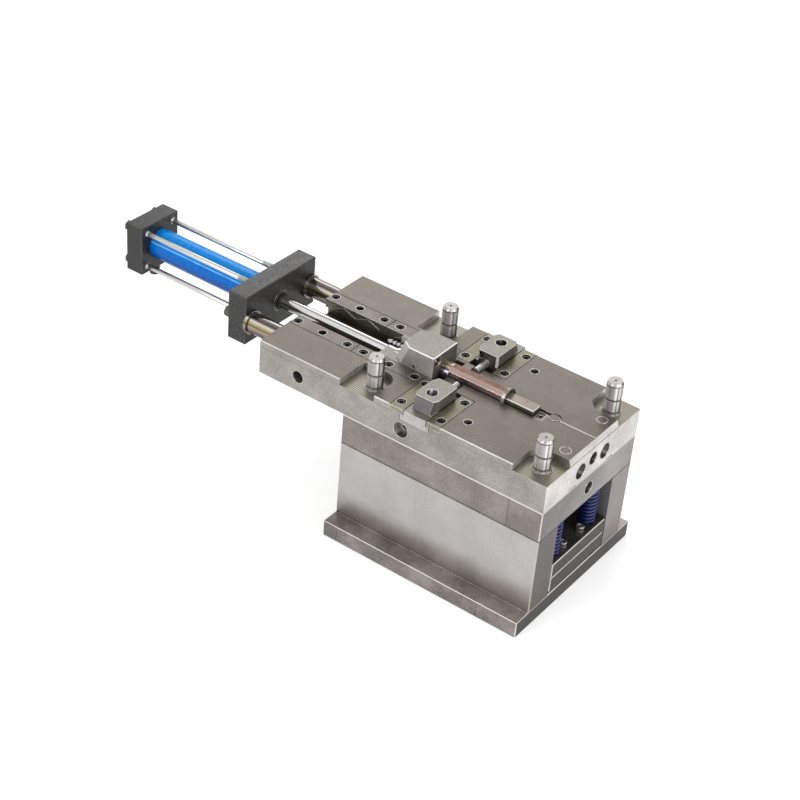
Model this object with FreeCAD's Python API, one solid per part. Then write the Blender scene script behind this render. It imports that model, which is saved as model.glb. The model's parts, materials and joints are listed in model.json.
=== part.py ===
import FreeCAD, Part
import math
import os

# Ejector half of an injection mould for a pipe cross, with a hydraulic core pull.
# Millimetres. The origin is the centre of the clamp plate's underside, +Z is the opening
# direction, +X points away from the cylinder, and -Y is the operator's side.

# Mould base
base_length = 350.0
base_width = 250.0
clamp_flange = 30.0
clamp_thickness = 28.0
clamp_seat_margin = 1.0
clamp_ledge_relief = 0.5
knock_out_radius = 20.0
spacer_height = 130.0
spacer_width = 50.0
support_thickness = 50.0
cavity_thickness = 58.0
cavity_overhang = 160.0
edge_break = 1.2
fit_gap = 0.05
loose_gap = 0.3
head_recess = 1.0
thread_run_out = 4.0

# Guide pins and their corner pockets
guide_inset_x = 30.0
guide_inset_y = 33.0
guide_radius = 12.5
guide_shank_radius = 14.5
guide_head_radius = 17.5
guide_head_height = 8.0
guide_free_height = 42.0
guide_collar_height = 3.0
guide_groove_height = 12.0
guide_groove_width = 3.0
guide_groove_depth = 0.8
guide_centre_radius = 2.0
guide_centre_depth = 3.0
guide_lead = 4.0
pocket_depth = 11.0
pocket_from_way = 7.5
right_pocket_length = 58.0
right_pocket_chamfer = 16.0
left_pocket_out = 40.0
left_pocket_in = 23.0
left_pocket_round = 22.0
end_bevel_length = 3.5

# Core slide, its rod coupling and the octagonal core
rod_axis_below_parting = 16.0
slide_front = -88.0
slide_length = 72.0
slide_half_width = 30.0
slide_height = 32.0
slide_lean = 13.0
slide_corner_x = 15.0
slide_corner_y = 20.0
slide_tail_length = 26.0
core_half_width = 11.5
core_half_height = 13.6
core_flat_half = 6.0
core_side_half = 8.5
core_collar_radius = 14.25
core_tail_radius = 9.0
core_tail_length = 36.0
core_tip = 22.0
core_tip_break = 0.8
wall_thickness = 2.5
coupling_shank_length = 18.3
coupling_shank_radius = 11.2
coupling_flat_depth = 1.2
coupling_flat_length = 8.0
coupling_break = 1.0
coupling_head_radius = 13.5
coupling_slot_length = 10.0
coupling_slot_wall = 2.0
nipple_y = 21.5
nipple_below_parting = 13.5
nipple_radius = 4.0
nipple_length = 45.0
nipple_flats = 12.0
nipple_hex_length = 11.0
nipple_seat_depth = 18.0
nipple_bore_radius = 1.8
nipple_neck_radius = 2.8
nipple_barb_radius = 4.4
nipple_barbs = 4
nipple_recess_y = 27.8
nipple_recess_depth = 21.0
slide_eye_radius = 7.5
slide_eye_depth = 6.0
slide_eye_y = -19.0
slide_eye_above_parting = 22.0
side_eye_radius = 2.5
side_eye_depth = 8.0
side_eye_from_front = 34.0
side_eye_above_parting = 3.0

# Slide way of the core pull
way_half_width = 57.0
way_depth = 30.0
way_margin = 9.0
throat_half_width = 33.0
throat_length = 25.0
rail_lip_thickness = 15.0
rail_lip_reach = 7.0
inner_rail_length = 121.0
rail_seam_gap = 0.6
rail_screw_offset = 13.0
rail_screw_ends = (9.0, 11.0)
rail_screw_seams = (14.0, 16.0)
rail_plain_hole_depth = 16.0
rail_edge_break = 0.4
oil_groove_width = 1.4
oil_groove_depth = 0.8
oil_groove_pitch = 23.0
oil_groove_edge = 3.0
oil_groove_end = 5.0

# Side slides
side_x = -50.0
side_half_width = 20.6
side_neck_gap = 1.4
side_foot_reach = 5.4
side_foot_height = 8.0
side_foot_gap = 1.0
gib_width = 23.4
gib_thickness = 9.0
gib_end_gap = 1.0
gib_round = 5.0
gib_pocket_round = 4.0
gib_screw_margin = 9.0
gib_screw_ends = (14.0, 16.0)
side_pocket_inner = 37.0
side_inner = 39.5
side_top_length = 55.0
side_wedge_length = 7.0
side_rise = 19.0
side_heel_drop = 0.5
side_travel = 14.5
front_slide_opening = 8.5
side_corner_left = (5.0, 12.0)
side_corner_right = (3.0, 3.0)
side_nose = (4.0, 8.0)
side_core_radius = 5.5
side_core_seat = 22.0
side_core_break = 0.6
side_face_hole_x = 10.5
side_face_hole_rise = 10.5
side_face_hole_radius = 5.5
side_face_hole_depth = 10.0
angle_pin_radius = 8.5
angle_pin_tilt = 18.0
angle_pin_from_inner = 36.5
angle_pin_depth = 28.0

# Fixed end of the core: a ring, a scribed bar and an end stop
end_ring_radius = 17.0
end_ring_length = 5.0
end_bar_half_width = 9.8
end_bar_rise = 7.2
end_bar_length = 47.5
end_line_count = 5
end_line_pitch = 3.0
end_line_width = 0.7
end_line_depth = 0.5
end_line_length = 25.0
end_stop_length = 16.5
end_stop_drop = 2.0
end_stop_break = 0.6
end_stop_rim = 2.0
end_stop_land = 5.0
end_stop_recess_depth = 2.0
end_seat_half = 13.0
end_seat_depth = 14.0

# Ejector set
ejector_side_gap = 3.0
stop_button_height = 4.0
stop_button_radius = 10.0
ejector_base_thickness = 26.0
ejector_retainer_thickness = 25.0
return_inset_x = 20.0
return_inset_y = 26.0
return_radius = 8.0
return_head_radius = 12.0
return_head_height = 8.0
bush_radius = 13.0
pillar_x = 70.0
pillar_radius = 19.0
pillar_clearance = 2.0
pin_top_break = 0.6
puller_y = 7.0
puller_wall = 1.0
puller_recess_radius = 10.5
puller_recess_depth = 2.0
puller_radius = 8.0
puller_head_radius = 12.0
ejector_pin_radius = 1.0
ejector_pin_head_radius = 2.5
ejector_pin_head_height = 4.0
ejector_pin_count = 3
ejector_pin_break = 0.1
ejector_screw_inset = 15.0
ejector_screw_from_return = 25.0
ejector_screw_short = 4.0
spring_radius = 13.0
spring_wire_width = 3.4
spring_wire_height = 3.2
spring_turns = 11
spring_sides = 12

# Holes of the cavity and support plates
water_port_radius = 12.5
water_port_depth = 11.0
water_drill_radius = 4.5
water_y = 32.5
water_below_parting = 35.5
front_water_x = -71.6
lifting_radius = 10.0
lifting_depth = 35.0
lifting_front_x = -261.0
lifting_front_below_parting = 32.5
lifting_end_below_parting = 30.5
plain_hole_x = 15.0
plain_hole_y = 86.0
plain_hole_radius = 6.5
plain_hole_depth = 30.0
pry_slot_centre = 48.5
pry_slot_width = 17.0
pry_slot_height = 3.0
pry_slot_depth = 6.0

# Hydraulic cylinder
cylinder_gap = 62.0
flange_thickness = 35.0
flange_half_width = 84.0
flange_half_height = 42.0
tube_outer_radius = 25.0
tube_inner_radius = 20.0
core_pull_stroke = 150.0
cylinder_end_margin = 19.0
cap_thickness = 33.0
cap_half_size = 42.5
rod_radius = 10.0
rod_spigot_radius = 7.0
rod_thread_radius = 6.0
rod_thread_length = 12.0
rod_break = 2.0
piston_length = 25.0
piston_clear_of_flange = 13.0
piston_nut_flats = 24.0
piston_nut_height = 9.0
seal_section = 3.0
seal_inset = 6.0
tie_offset = 29.5
tie_radius = 4.5
tie_nut_flats = 15.0
tie_nut_height = 8.0
tie_nut_round = 0.55
tie_rod_stand_out = 2.0
post_y = 71.0
post_drop = 5.0
post_radius = 16.5
post_collar_radius = 19.5
post_collar_length = 5.0
post_neck_depth = 1.0
post_neck_length = 2.0
gland_radius = 16.0
gland_depth = 14.0
gland_lip = 2.0
wiper_radius = 12.5
wiper_length = 3.0
port_body_radius = 8.0
port_body_length = 17.0
port_bore_radius = 4.5
port_drill_radius = 3.5
port_inset = 12.0
port_hex_flats = 17.5
chamber_step = 2.0

# Socket screws: thread radius, head radius, head height and key size
m8 = (4.0, 6.5, 8.0, 6.0)
m8_low = (4.0, 6.5, 5.0, 5.0)
m12 = (6.0, 9.0, 12.0, 10.0)
m14 = (7.0, 10.5, 14.0, 12.0)
thread_engagement = 20.0
assembly_screw_inset_x = 65.0
assembly_screw_inset_y = 23.0
spacer_screw_inset = 115.0

# Levels and places that follow from the sizes above
half_length = base_length / 2
thread_depth = thread_engagement + thread_run_out
half_width = base_width / 2
clamp_top = clamp_thickness
spacer_top = clamp_top + spacer_height
support_top = spacer_top + support_thickness
parting = support_top + cavity_thickness
cavity_left = -half_length - cavity_overhang
spacer_inner = half_width - spacer_width
guide_x = half_length - guide_inset_x
guide_y = half_width - guide_inset_y
pocket_floor = parting - pocket_depth
pocket_inner = way_half_width + pocket_from_way
guide_top = parting + guide_free_height
way_floor = parting - way_depth
way_end = slide_front - way_margin
throat_end = way_end + throat_length
rail_seam = way_end - inner_rail_length
rail_lip_bottom = parting - rail_lip_thickness
rail_body_inner = throat_half_width + rail_lip_reach
rail_screw_y = throat_half_width + rail_screw_offset
slide_back = slide_front - slide_length
rod_z = parting - rod_axis_below_parting
slide_tail_end = slide_back - slide_tail_length
coupling_slot_end = slide_back - coupling_slot_wall
coupling_slot_start = coupling_slot_end - coupling_slot_length
coupling_head_end = coupling_slot_end - loose_gap
coupling_head_start = coupling_slot_start + loose_gap
rod_end = coupling_head_start - coupling_shank_length
branch_radius = side_core_radius + wall_thickness
gib_bottom = parting - gib_thickness
side_floor = gib_bottom - side_foot_height
side_pocket_half = side_half_width + gib_width
side_groove_half = side_half_width + side_foot_reach
side_head_half = side_half_width - side_neck_gap
side_tail = half_width - front_slide_opening
gib_screw_x = side_pocket_half - gib_screw_margin
side_core_tip = core_half_width + loose_gap
ejector_bottom = clamp_top + stop_button_height
ejector_mid = ejector_bottom + ejector_base_thickness
ejector_top = ejector_mid + ejector_retainer_thickness
ejector_pin_y = core_half_width + wall_thickness / 2
end_ring_start = core_tip + loose_gap
end_bar_start = end_ring_start + end_ring_length
end_bar_end = end_bar_start + end_bar_length
end_stop_start = end_bar_end + loose_gap
end_stop_end = end_stop_start + end_stop_length
puller_x = end_stop_end + loose_gap + puller_wall + fit_gap + puller_radius
end_seat_floor = parting - end_seat_depth
end_screws = [end_bar_start + end_bar_length / 3, (end_stop_start + end_stop_end) / 2]
flange_front = cavity_left - cylinder_gap
flange_back = flange_front - flange_thickness
piston_front = flange_back - piston_clear_of_flange
piston_back = piston_front - piston_length
cap_front = piston_back - piston_nut_height - core_pull_stroke - cylinder_end_margin
cap_back = cap_front - cap_thickness
post_z = rod_z - post_drop
return_x = half_length - return_inset_x
return_y = spacer_inner - return_inset_y
ejector_screw_x = half_length - ejector_screw_inset
ejector_screw_y = return_y - ejector_screw_from_return
assembly_screw_x = half_length - assembly_screw_inset_x
assembly_screw_y = half_width - assembly_screw_inset_y
spacer_screw_x = half_length - spacer_screw_inset


def box(x0, x1, y0, y1, z0, z1):
    low = FreeCAD.Vector(min(x0, x1), min(y0, y1), min(z0, z1))
    return Part.makeBox(abs(x1 - x0), abs(y1 - y0), abs(z1 - z0), low)


def rod_x(x0, x1, y, z, radius):
    return Part.makeCylinder(radius, x1 - x0, FreeCAD.Vector(x0, y, z), FreeCAD.Vector(1, 0, 0))


def rod_y(x, y0, y1, z, radius):
    low = FreeCAD.Vector(x, min(y0, y1), z)
    return Part.makeCylinder(radius, abs(y1 - y0), low, FreeCAD.Vector(0, 1, 0))


def rod_up(x, y, z0, z1, radius):
    return Part.makeCylinder(radius, z1 - z0, FreeCAD.Vector(x, y, z0))


def ring_up(x, y, z0, z1, outer, inner):
    return rod_up(x, y, z0, z1, outer).cut(rod_up(x, y, z0, z1, inner))


def ring_x(x0, x1, y, z, outer, inner):
    return rod_x(x0, x1, y, z, outer).cut(rod_x(x0, x1, y, z, inner))


def face_of(points):
    loop = [FreeCAD.Vector(*p) for p in points]
    return Part.Face(Part.makePolygon(loop + loop[:1]))


def plan_prism(outline, z0, z1):
    return face_of([(x, y, z0) for x, y in outline]).extrude(FreeCAD.Vector(0, 0, z1 - z0))


def section_prism(outline, x0, x1):
    """A prism along X from an outline of (y, z) points."""
    return face_of([(x0, y, z) for y, z in outline]).extrude(FreeCAD.Vector(x1 - x0, 0, 0))


def turned_up(x, y, profile):
    """A solid of revolution about a vertical axis, from (radius, height) points."""
    rim = [(x + r, y, z) for r, z in profile]
    outline = [(x, y, profile[0][1])] + rim + [(x, y, profile[-1][1])]
    return face_of(outline).revolve(FreeCAD.Vector(x, y, 0), FreeCAD.Vector(0, 0, 1), 360)


def turned_along_x(y, z, profile):
    """A solid of revolution about an axis along X, from (place, radius) points."""
    rim = [(x, y, z + r) for x, r in profile]
    outline = [(profile[0][0], y, z)] + rim + [(profile[-1][0], y, z)]
    return face_of(outline).revolve(FreeCAD.Vector(0, y, z), FreeCAD.Vector(1, 0, 0), 360)


def hexagon(flats):
    radius = flats / math.sqrt(3)
    turns = [math.radians(60 * i) for i in range(6)]
    return [(radius * math.cos(t), radius * math.sin(t)) for t in turns]


def hex_up(x, y, z0, z1, flats):
    return plan_prism([(x + a, y + b) for a, b in hexagon(flats)], z0, z1)


def hex_along_x(x0, x1, y, z, flats):
    return section_prism([(y + b, z + a) for a, b in hexagon(flats)], x0, x1)


def group(solids):
    return Part.makeCompound(solids)


def broken_edges(shape, size, keep):
    """Chamfers the edges that keep() picks by their middle point."""
    edges = [e for e in shape.Edges if keep(e.CenterOfMass)]
    return shape.makeChamfer(size, edges) if edges else shape


def near(a, b):
    return abs(a - b) < 0.01


def outline_edges(x0, x1, y_half, z0, z1, y=0.0):
    """Picks the twelve edges of a block that is centred on y."""
    def keep(c):
        on_x = near(c.x, x0) or near(c.x, x1)
        on_y = near(abs(c.y - y), y_half)
        on_z = near(c.z, z0) or near(c.z, z1)
        return on_x + on_y + on_z >= 2
    return keep


def block(x0, x1, y_half, z0, z1, size=edge_break):
    """A plate centred on y = 0 with every outline edge broken."""
    plate = box(x0, x1, -y_half, y_half, z0, z1)
    return broken_edges(plate, size, outline_edges(x0, x1, y_half, z0, z1))


def corners(x, y):
    return [(sx * x, sy * y) for sx in (-1, 1) for sy in (-1, 1)]


def screw_hole(size):
    return size[0] + 2 * fit_gap


def head_seat(size):
    return size[1] + 10 * fit_gap


def screw_down(x, y, top, length, size):
    """A socket head screw that points down, with its head's top at height top."""
    radius, head_radius, head_height, key = size
    seat = top - head_height
    body = rod_up(x, y, seat, top, head_radius).fuse(rod_up(x, y, seat - length, seat, radius))
    return body.removeSplitter().cut(hex_up(x, y, top - head_height / 2, top, key))


def screw_up(x, y, bottom, length, size):
    radius, head_radius, head_height, key = size
    seat = bottom + head_height
    body = rod_up(x, y, bottom, seat, head_radius).fuse(rod_up(x, y, seat, seat + length, radius))
    return body.removeSplitter().cut(hex_up(x, y, bottom, bottom + head_height / 2, key))


def core_section(grow):
    """The core's octagon, or with grow the cavity around it, about the parting plane."""
    w = core_half_width + grow
    h = core_half_height + grow
    f = core_flat_half + grow / 2
    s = core_side_half + grow / 2
    outline = [(f, h), (w, s), (w, -s), (f, -h), (-f, -h), (-w, -s), (-w, s), (-f, h)]
    return [(y, parting + z) for y, z in outline]


def rail_spans():
    seam = rail_seam_gap / 2
    return {"outer": (cavity_left, rail_seam - seam), "inner": (rail_seam + seam, way_end)}


def rail_screw_stations():
    outer_low = cavity_left + rail_screw_ends[0]
    outer_high = rail_seam - rail_screw_seams[0]
    inner_low = rail_seam + rail_screw_seams[1]
    inner_high = way_end - rail_screw_ends[1]
    return [outer_low, outer_high, inner_low, (inner_low + inner_high) / 2, inner_high]


def gib_screws_at():
    stations = (side_pocket_inner + gib_screw_ends[0], half_width - gib_screw_ends[1])
    return [(side_x + x, side * y) for side in (-1, 1) for x in (-gib_screw_x, gib_screw_x) for y in stations]


def ejector_pins_at():
    first = side_x + branch_radius + wall_thickness
    step = (core_tip - ejector_pin_head_radius - first) / ejector_pin_count
    stations = [first + step * (i + 1) for i in range(ejector_pin_count)]
    return [(x, side * ejector_pin_y) for x in stations for side in (-1, 1)]


assembly_screws_at = corners(assembly_screw_x, assembly_screw_y)
spacer_screws_at = corners(spacer_screw_x, half_width - spacer_width / 2)
return_pins_at = [(return_x, -return_y), (return_x, return_y)]
ejector_guides_at = [(-return_x, -return_y), (-return_x, return_y)]
ejector_screws_at = corners(ejector_screw_x, ejector_screw_y)
stop_buttons_at = corners(assembly_screw_x, return_y) + [(0, -return_y), (0, return_y)]
pillars_at = [(-pillar_x, 0), (pillar_x, 0)]
rail_screws_at = [(x, side * rail_screw_y) for x in rail_screw_stations() for side in (-1, 1)]


def bottom_clamp_plate():
    plate = block(-half_length, half_length, half_width + clamp_flange, 0, clamp_top)
    holes = [rod_up(0, 0, 0, clamp_top, knock_out_radius)]
    for x, y in assembly_screws_at:
        holes.append(rod_up(x, y, 0, m14[2] + head_recess, head_seat(m14)))
        holes.append(rod_up(x, y, 0, clamp_top, screw_hole(m14)))
    for x, y in spacer_screws_at:
        holes.append(rod_up(x, y, 0, m8[2] + head_recess, head_seat(m8)))
        holes.append(rod_up(x, y, 0, clamp_top, screw_hole(m8)))
    for x, y in ejector_guides_at:
        holes.append(rod_up(x, y, clamp_top / 2, clamp_top, return_radius + fit_gap))
    ledge = clamp_top - clamp_ledge_relief
    seat = half_width + clamp_seat_margin
    for side in (-1, 1):
        edge = side * (half_width + clamp_flange + 1)
        holes.append(box(-half_length - 1, half_length + 1, side * seat, edge, ledge, clamp_top + 1))
    return plate.cut(holes)


def spacer_block(side):
    outer = side * half_width
    body = box(-half_length, half_length, side * spacer_inner, outer, clamp_top, spacer_top)
    body = broken_edges(body, edge_break, lambda c: near(c.y, outer) and near(abs(c.x), half_length))
    holes = []
    for x, y in assembly_screws_at:
        holes.append(rod_up(x, y, clamp_top, spacer_top, screw_hole(m14)))
    for x, y in spacer_screws_at:
        holes.append(rod_up(x, y, clamp_top, clamp_top + thread_depth, screw_hole(m8)))
    return body.cut(holes)


def support_plate():
    plate = block(-half_length, half_length, half_width, spacer_top, support_top)
    holes = []
    for x, y in assembly_screws_at:
        holes.append(rod_up(x, y, spacer_top, support_top, screw_hole(m14)))
    for x, y in return_pins_at:
        holes.append(rod_up(x, y, spacer_top, support_top, return_radius + loose_gap))
    for x, y in ejector_guides_at:
        holes.append(rod_up(x, y, spacer_top, spacer_top + support_thickness / 2, return_radius + fit_gap))
    for x, y in ejector_pins_at():
        holes.append(rod_up(x, y, spacer_top, support_top, ejector_pin_radius + loose_gap))
    holes.append(rod_up(puller_x, puller_y, spacer_top, support_top, puller_radius + loose_gap))
    lifting_z = (spacer_top + support_top) / 2
    holes.append(rod_x(half_length - lifting_depth, half_length, 0, lifting_z, lifting_radius))
    return plate.cut(holes)


def right_pocket(side):
    x_in = half_length - right_pocket_length
    slope = right_pocket_chamfer
    y_in = side * pocket_inner
    y_out = side * (half_width + 1)
    outline = [
        (x_in, y_out),
        (x_in, y_in + side * slope),
        (x_in + slope, y_in),
        (half_length + 1, y_in),
        (half_length + 1, y_out),
    ]
    return plan_prism(outline, pocket_floor, parting + 1)


def left_pocket(side):
    x_low = -guide_x - left_pocket_out
    x_high = -guide_x + left_pocket_in
    y_in = side * pocket_inner
    pocket = box(x_low, x_high, y_in, side * (half_width + 1), pocket_floor, parting + 1)

    def inner_corner(c):
        return near(c.x, x_high) and near(c.y, y_in)

    return pocket.makeFillet(left_pocket_round, [e for e in pocket.Edges if inner_corner(e.CenterOfMass)])


def rounded_inner_box(half, y0, y1, z0, z1, radius):
    """A block centred on the side slides, with its corners at y0 rounded."""
    shape = box(side_x - half, side_x + half, y0, y1, z0, z1)
    corner = [e for e in shape.Edges if near(e.CenterOfMass.y, y0) and near(e.CenterOfMass.z, (z0 + z1) / 2)]
    return shape.makeFillet(radius, corner)


def side_pocket(side):
    """The seat of the gibs and below it the groove of the slide's foot."""
    y_in = side * side_pocket_inner
    y_out = side * (half_width + 1)
    seat = rounded_inner_box(side_pocket_half, y_in, y_out, gib_bottom, parting + 1, gib_pocket_round)
    groove = box(side_x - side_groove_half, side_x + side_groove_half, y_in, y_out, side_floor, gib_bottom + 1)
    return seat.fuse(groove)


def slide_way_cuts():
    """The open way of the core slide, the throat before it and the core's half cavity."""
    way = way_half_width
    throat = throat_half_width
    seat = end_seat_half
    return [
        box(cavity_left - 1, way_end, -way, way, way_floor, parting + 1),
        box(way_end - 1, throat_end, -throat, throat, way_floor, parting + 1),
        section_prism(core_section(wall_thickness), throat_end - 1, end_ring_start),
        rod_y(side_x, -side_pocket_inner - 1, side_pocket_inner + 1, parting, branch_radius),
        rod_x(end_ring_start - loose_gap, end_bar_start + loose_gap, 0, parting, end_ring_radius + fit_gap),
        box(end_bar_start, end_stop_end + loose_gap, -seat, seat, end_seat_floor, parting + 1),
    ]


def port_cuts():
    """Cooling ports and drillings, lifting holes and pry slots on the plate's faces."""
    cuts = []
    water_z = parting - water_below_parting
    port_end = half_length - water_port_depth
    for side in (-1, 1):
        y = side * water_y
        cuts.append(rod_x(port_end, half_length, y, water_z, water_port_radius))
        cuts.append(rod_x(front_water_x, port_end, y, water_z, water_drill_radius))
        low = side * pry_slot_centre - pry_slot_width / 2
        start = half_length - pry_slot_depth
        slot_top = support_top + pry_slot_height
        cuts.append(box(start, half_length + 1, low, low + pry_slot_width, support_top - 1, slot_top))
    port_face = -half_width + water_port_depth
    cuts.append(rod_y(front_water_x, -half_width, port_face, water_z, water_port_radius))
    cuts.append(rod_y(front_water_x, port_face, -water_y, water_z, water_drill_radius))
    end_z = parting - lifting_end_below_parting
    front_z = parting - lifting_front_below_parting
    cuts.append(rod_x(half_length - lifting_depth, half_length, 0, end_z, lifting_radius))
    cuts.append(rod_y(lifting_front_x, -half_width, lifting_depth - half_width, front_z, lifting_radius))
    return cuts


def pin_and_screw_cuts():
    """Every hole of the cavity plate that holds a pin, a screw or a post bolt."""
    cuts = []
    for x, y in rail_screws_at:
        cuts.append(rod_up(x, y, way_floor - thread_engagement / 2, way_floor, screw_hole(m8)))
    for x, y in gib_screws_at():
        cuts.append(rod_up(x, y, gib_bottom - thread_engagement, gib_bottom, screw_hole(m8_low)))
    for x in end_screws:
        cuts.append(rod_up(x, 0, support_top, end_seat_floor, screw_hole(m8)))
        cuts.append(rod_up(x, 0, support_top, support_top + m8[2] + head_recess, head_seat(m8)))
    for side in (-1, 1):
        y = side * post_y
        cuts.append(rod_x(cavity_left, cavity_left + thread_depth, y, post_z, screw_hole(m12)))
        y = side * plain_hole_y
        cuts.append(rod_up(plain_hole_x, y, parting - plain_hole_depth, parting, plain_hole_radius))
    for x, y in corners(guide_x, guide_y):
        cuts.append(rod_up(x, y, support_top, parting, guide_shank_radius + fit_gap))
        cuts.append(rod_up(x, y, support_top, support_top + guide_head_height, guide_head_radius + loose_gap))
    for x, y in assembly_screws_at:
        cuts.append(rod_up(x, y, support_top, support_top + thread_depth, screw_hole(m14)))
    for x, y in return_pins_at:
        cuts.append(rod_up(x, y, support_top, parting, return_radius + fit_gap))
    for x, y in ejector_pins_at():
        cuts.append(rod_up(x, y, support_top, parting, ejector_pin_radius + fit_gap))
    cuts.append(rod_up(puller_x, puller_y, support_top, parting, puller_radius + fit_gap))
    recess_floor = parting - puller_recess_depth
    cuts.append(rod_up(puller_x, puller_y, recess_floor, parting + 1, puller_recess_radius))
    return cuts


def cavity_plate():
    plate = box(cavity_left, half_length, -half_width, half_width, support_top, parting)
    bevel = [
        (half_length - end_bevel_length, -half_width - 1, parting),
        (half_length, -half_width - 1, pocket_floor),
        (half_length + 1, -half_width - 1, pocket_floor),
        (half_length + 1, -half_width - 1, parting),
    ]
    plate = plate.cut(face_of(bevel).extrude(FreeCAD.Vector(0, base_width + 2, 0)))
    keep = outline_edges(cavity_left, half_length, half_width, support_top, parting)
    plate = broken_edges(plate, edge_break, lambda c: keep(c) and not near(c.x, half_length))
    cuts = slide_way_cuts() + port_cuts() + pin_and_screw_cuts()
    for side in (-1, 1):
        cuts += [right_pocket(side), left_pocket(side), side_pocket(side)]
    return plate.cut(cuts)


def guide_pin(x, y):
    groove = parting + guide_groove_height
    waist = guide_radius - guide_groove_depth
    profile = [
        (guide_head_radius, support_top),
        (guide_head_radius, support_top + guide_head_height),
        (guide_shank_radius, support_top + guide_head_height),
        (guide_shank_radius, pocket_floor + guide_collar_height),
        (guide_radius, pocket_floor + guide_collar_height),
        (guide_radius, groove),
        (waist, groove),
        (waist, groove + guide_groove_width),
        (guide_radius, groove + guide_groove_width),
        (guide_radius, guide_top - guide_lead),
        (guide_radius - guide_lead / 2, guide_top),
    ]
    centre = rod_up(x, y, guide_top - guide_centre_depth, guide_top, guide_centre_radius)
    return turned_up(x, y, profile).cut(centre)


def oil_grooves(side, x_low, x_high):
    """A zigzag groove along the rail's running face."""
    low = rail_lip_bottom + oil_groove_edge
    high = parting - oil_groove_edge
    count = int((x_high - x_low - 2 * oil_groove_end) / oil_groove_pitch)
    start = (x_low + x_high - count * oil_groove_pitch) / 2
    y = side * throat_half_width
    half = oil_groove_width / 2
    cuts = []
    for i in range(count):
        xa = start + i * oil_groove_pitch
        xb = xa + oil_groove_pitch
        za, zb = (high, low) if i % 2 else (low, high)
        length = math.hypot(xb - xa, zb - za)
        dx = (za - zb) / length * half
        dz = (xb - xa) / length * half
        outline = [
            (xa + dx, y, za + dz),
            (xb + dx, y, zb + dz),
            (xb - dx, y, zb - dz),
            (xa - dx, y, za - dz),
        ]
        cuts.append(face_of(outline).extrude(FreeCAD.Vector(0, side * oil_groove_depth, 0)))
    return cuts


def slide_rail(side, x_low, x_high):
    """An L-shaped rail: its lip runs over the slide's foot, its body fills the seat."""
    outer = side * way_half_width
    lip = box(x_low, x_high, side * throat_half_width, outer, rail_lip_bottom, parting)
    body = box(x_low, x_high, side * rail_body_inner, outer, way_floor, rail_lip_bottom)
    shape = lip.fuse(body).removeSplitter()
    shape = broken_edges(shape, rail_edge_break, lambda c: near(c.z, parting))
    cuts = oil_grooves(side, x_low, x_high)
    for x, y in rail_screws_at:
        if y * side > 0 and x_low < x < x_high:
            cuts.append(rod_up(x, y, parting - m8[2] - head_recess, parting, head_seat(m8)))
            cuts.append(rod_up(x, y, way_floor, parting, screw_hole(m8)))
    stations = rail_screw_stations()
    plain_x = (stations[0] + stations[1]) / 2
    if x_low < plain_x < x_high:
        plain_bottom = parting - rail_plain_hole_depth
        cuts.append(rod_up(plain_x, side * rail_screw_y, plain_bottom, parting, m8[1]))
    return shape.cut(cuts)


def gib(side, hand):
    """A flat gib beside a side slide; hand is -1 towards the cylinder."""
    inner = side_x + hand * (side_half_width + fit_gap)
    outer = side_x + hand * side_pocket_half
    y0 = side * (side_pocket_inner + gib_end_gap)
    shape = box(inner, outer, y0, side * half_width, gib_bottom, parting)
    corner = [e for e in shape.Edges if near(e.CenterOfMass.x, outer) and near(e.CenterOfMass.y, y0)]
    shape = shape.makeFillet(gib_round, corner)
    shape = broken_edges(shape, rail_edge_break, lambda c: near(c.z, parting))
    cuts = []
    for x, y in gib_screws_at():
        if y * side > 0 and (x - side_x) * hand > 0:
            cuts.append(rod_up(x, y, parting - m8_low[2] - head_recess, parting, head_seat(m8_low)))
            cuts.append(rod_up(x, y, gib_bottom, parting, screw_hole(m8_low)))
    return shape.cut(cuts)


def rail_and_gib_screws():
    top = parting - head_recess
    rail_length = top - m8[2] - way_floor + thread_engagement / 2 - 1
    gib_length = top - m8_low[2] - gib_bottom + thread_engagement - 1
    solids = [screw_down(x, y, top, rail_length, m8) for x, y in rail_screws_at]
    solids += [screw_down(x, y, top, gib_length, m8_low) for x, y in gib_screws_at()]
    return group(solids)


def assembly_screws():
    length = support_top + thread_engagement - m14[2] - head_recess
    return group([screw_up(x, y, head_recess, length, m14) for x, y in assembly_screws_at])


def spacer_screws():
    length = clamp_top + thread_engagement - m8[2] - head_recess
    return group([screw_up(x, y, head_recess, length, m8) for x, y in spacer_screws_at])


def stop_buttons():
    return group([rod_up(x, y, clamp_top, ejector_bottom, stop_button_radius) for x, y in stop_buttons_at])


def ejector_guide_pins():
    low = clamp_top / 2
    high = spacer_top + support_thickness / 2 - 1
    return group([rod_up(x, y, low, high, return_radius) for x, y in ejector_guides_at])


def support_pillars():
    return group([rod_up(x, y, clamp_top, spacer_top, pillar_radius) for x, y in pillars_at])


def end_screw_hole(x):
    depth = thread_engagement / 2
    return rod_up(x, 0, end_seat_floor, end_seat_floor + depth, screw_hole(m8))


def core_end_bar():
    """The ring that meets the core's tip and the scribed bar behind it, in one piece."""
    high = parting + end_bar_rise
    half = end_bar_half_width
    bar = box(end_bar_start - 1, end_bar_end, -half, half, end_seat_floor, high)
    bar = broken_edges(bar, edge_break, lambda c: near(c.z, high) and c.x > end_bar_start)
    ring = rod_x(end_ring_start, end_bar_start, 0, parting, end_ring_radius)
    cuts = [end_screw_hole(end_screws[0])]
    x1 = end_bar_end - edge_break - end_line_width
    for i in range(end_line_count):
        y = end_line_pitch * (i - (end_line_count - 1) / 2)
        low = y - end_line_width / 2
        cuts.append(box(x1 - end_line_length, x1, low, low + end_line_width, high - end_line_depth, high + 1))
    return bar.fuse(ring).removeSplitter().cut(cuts)


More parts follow.
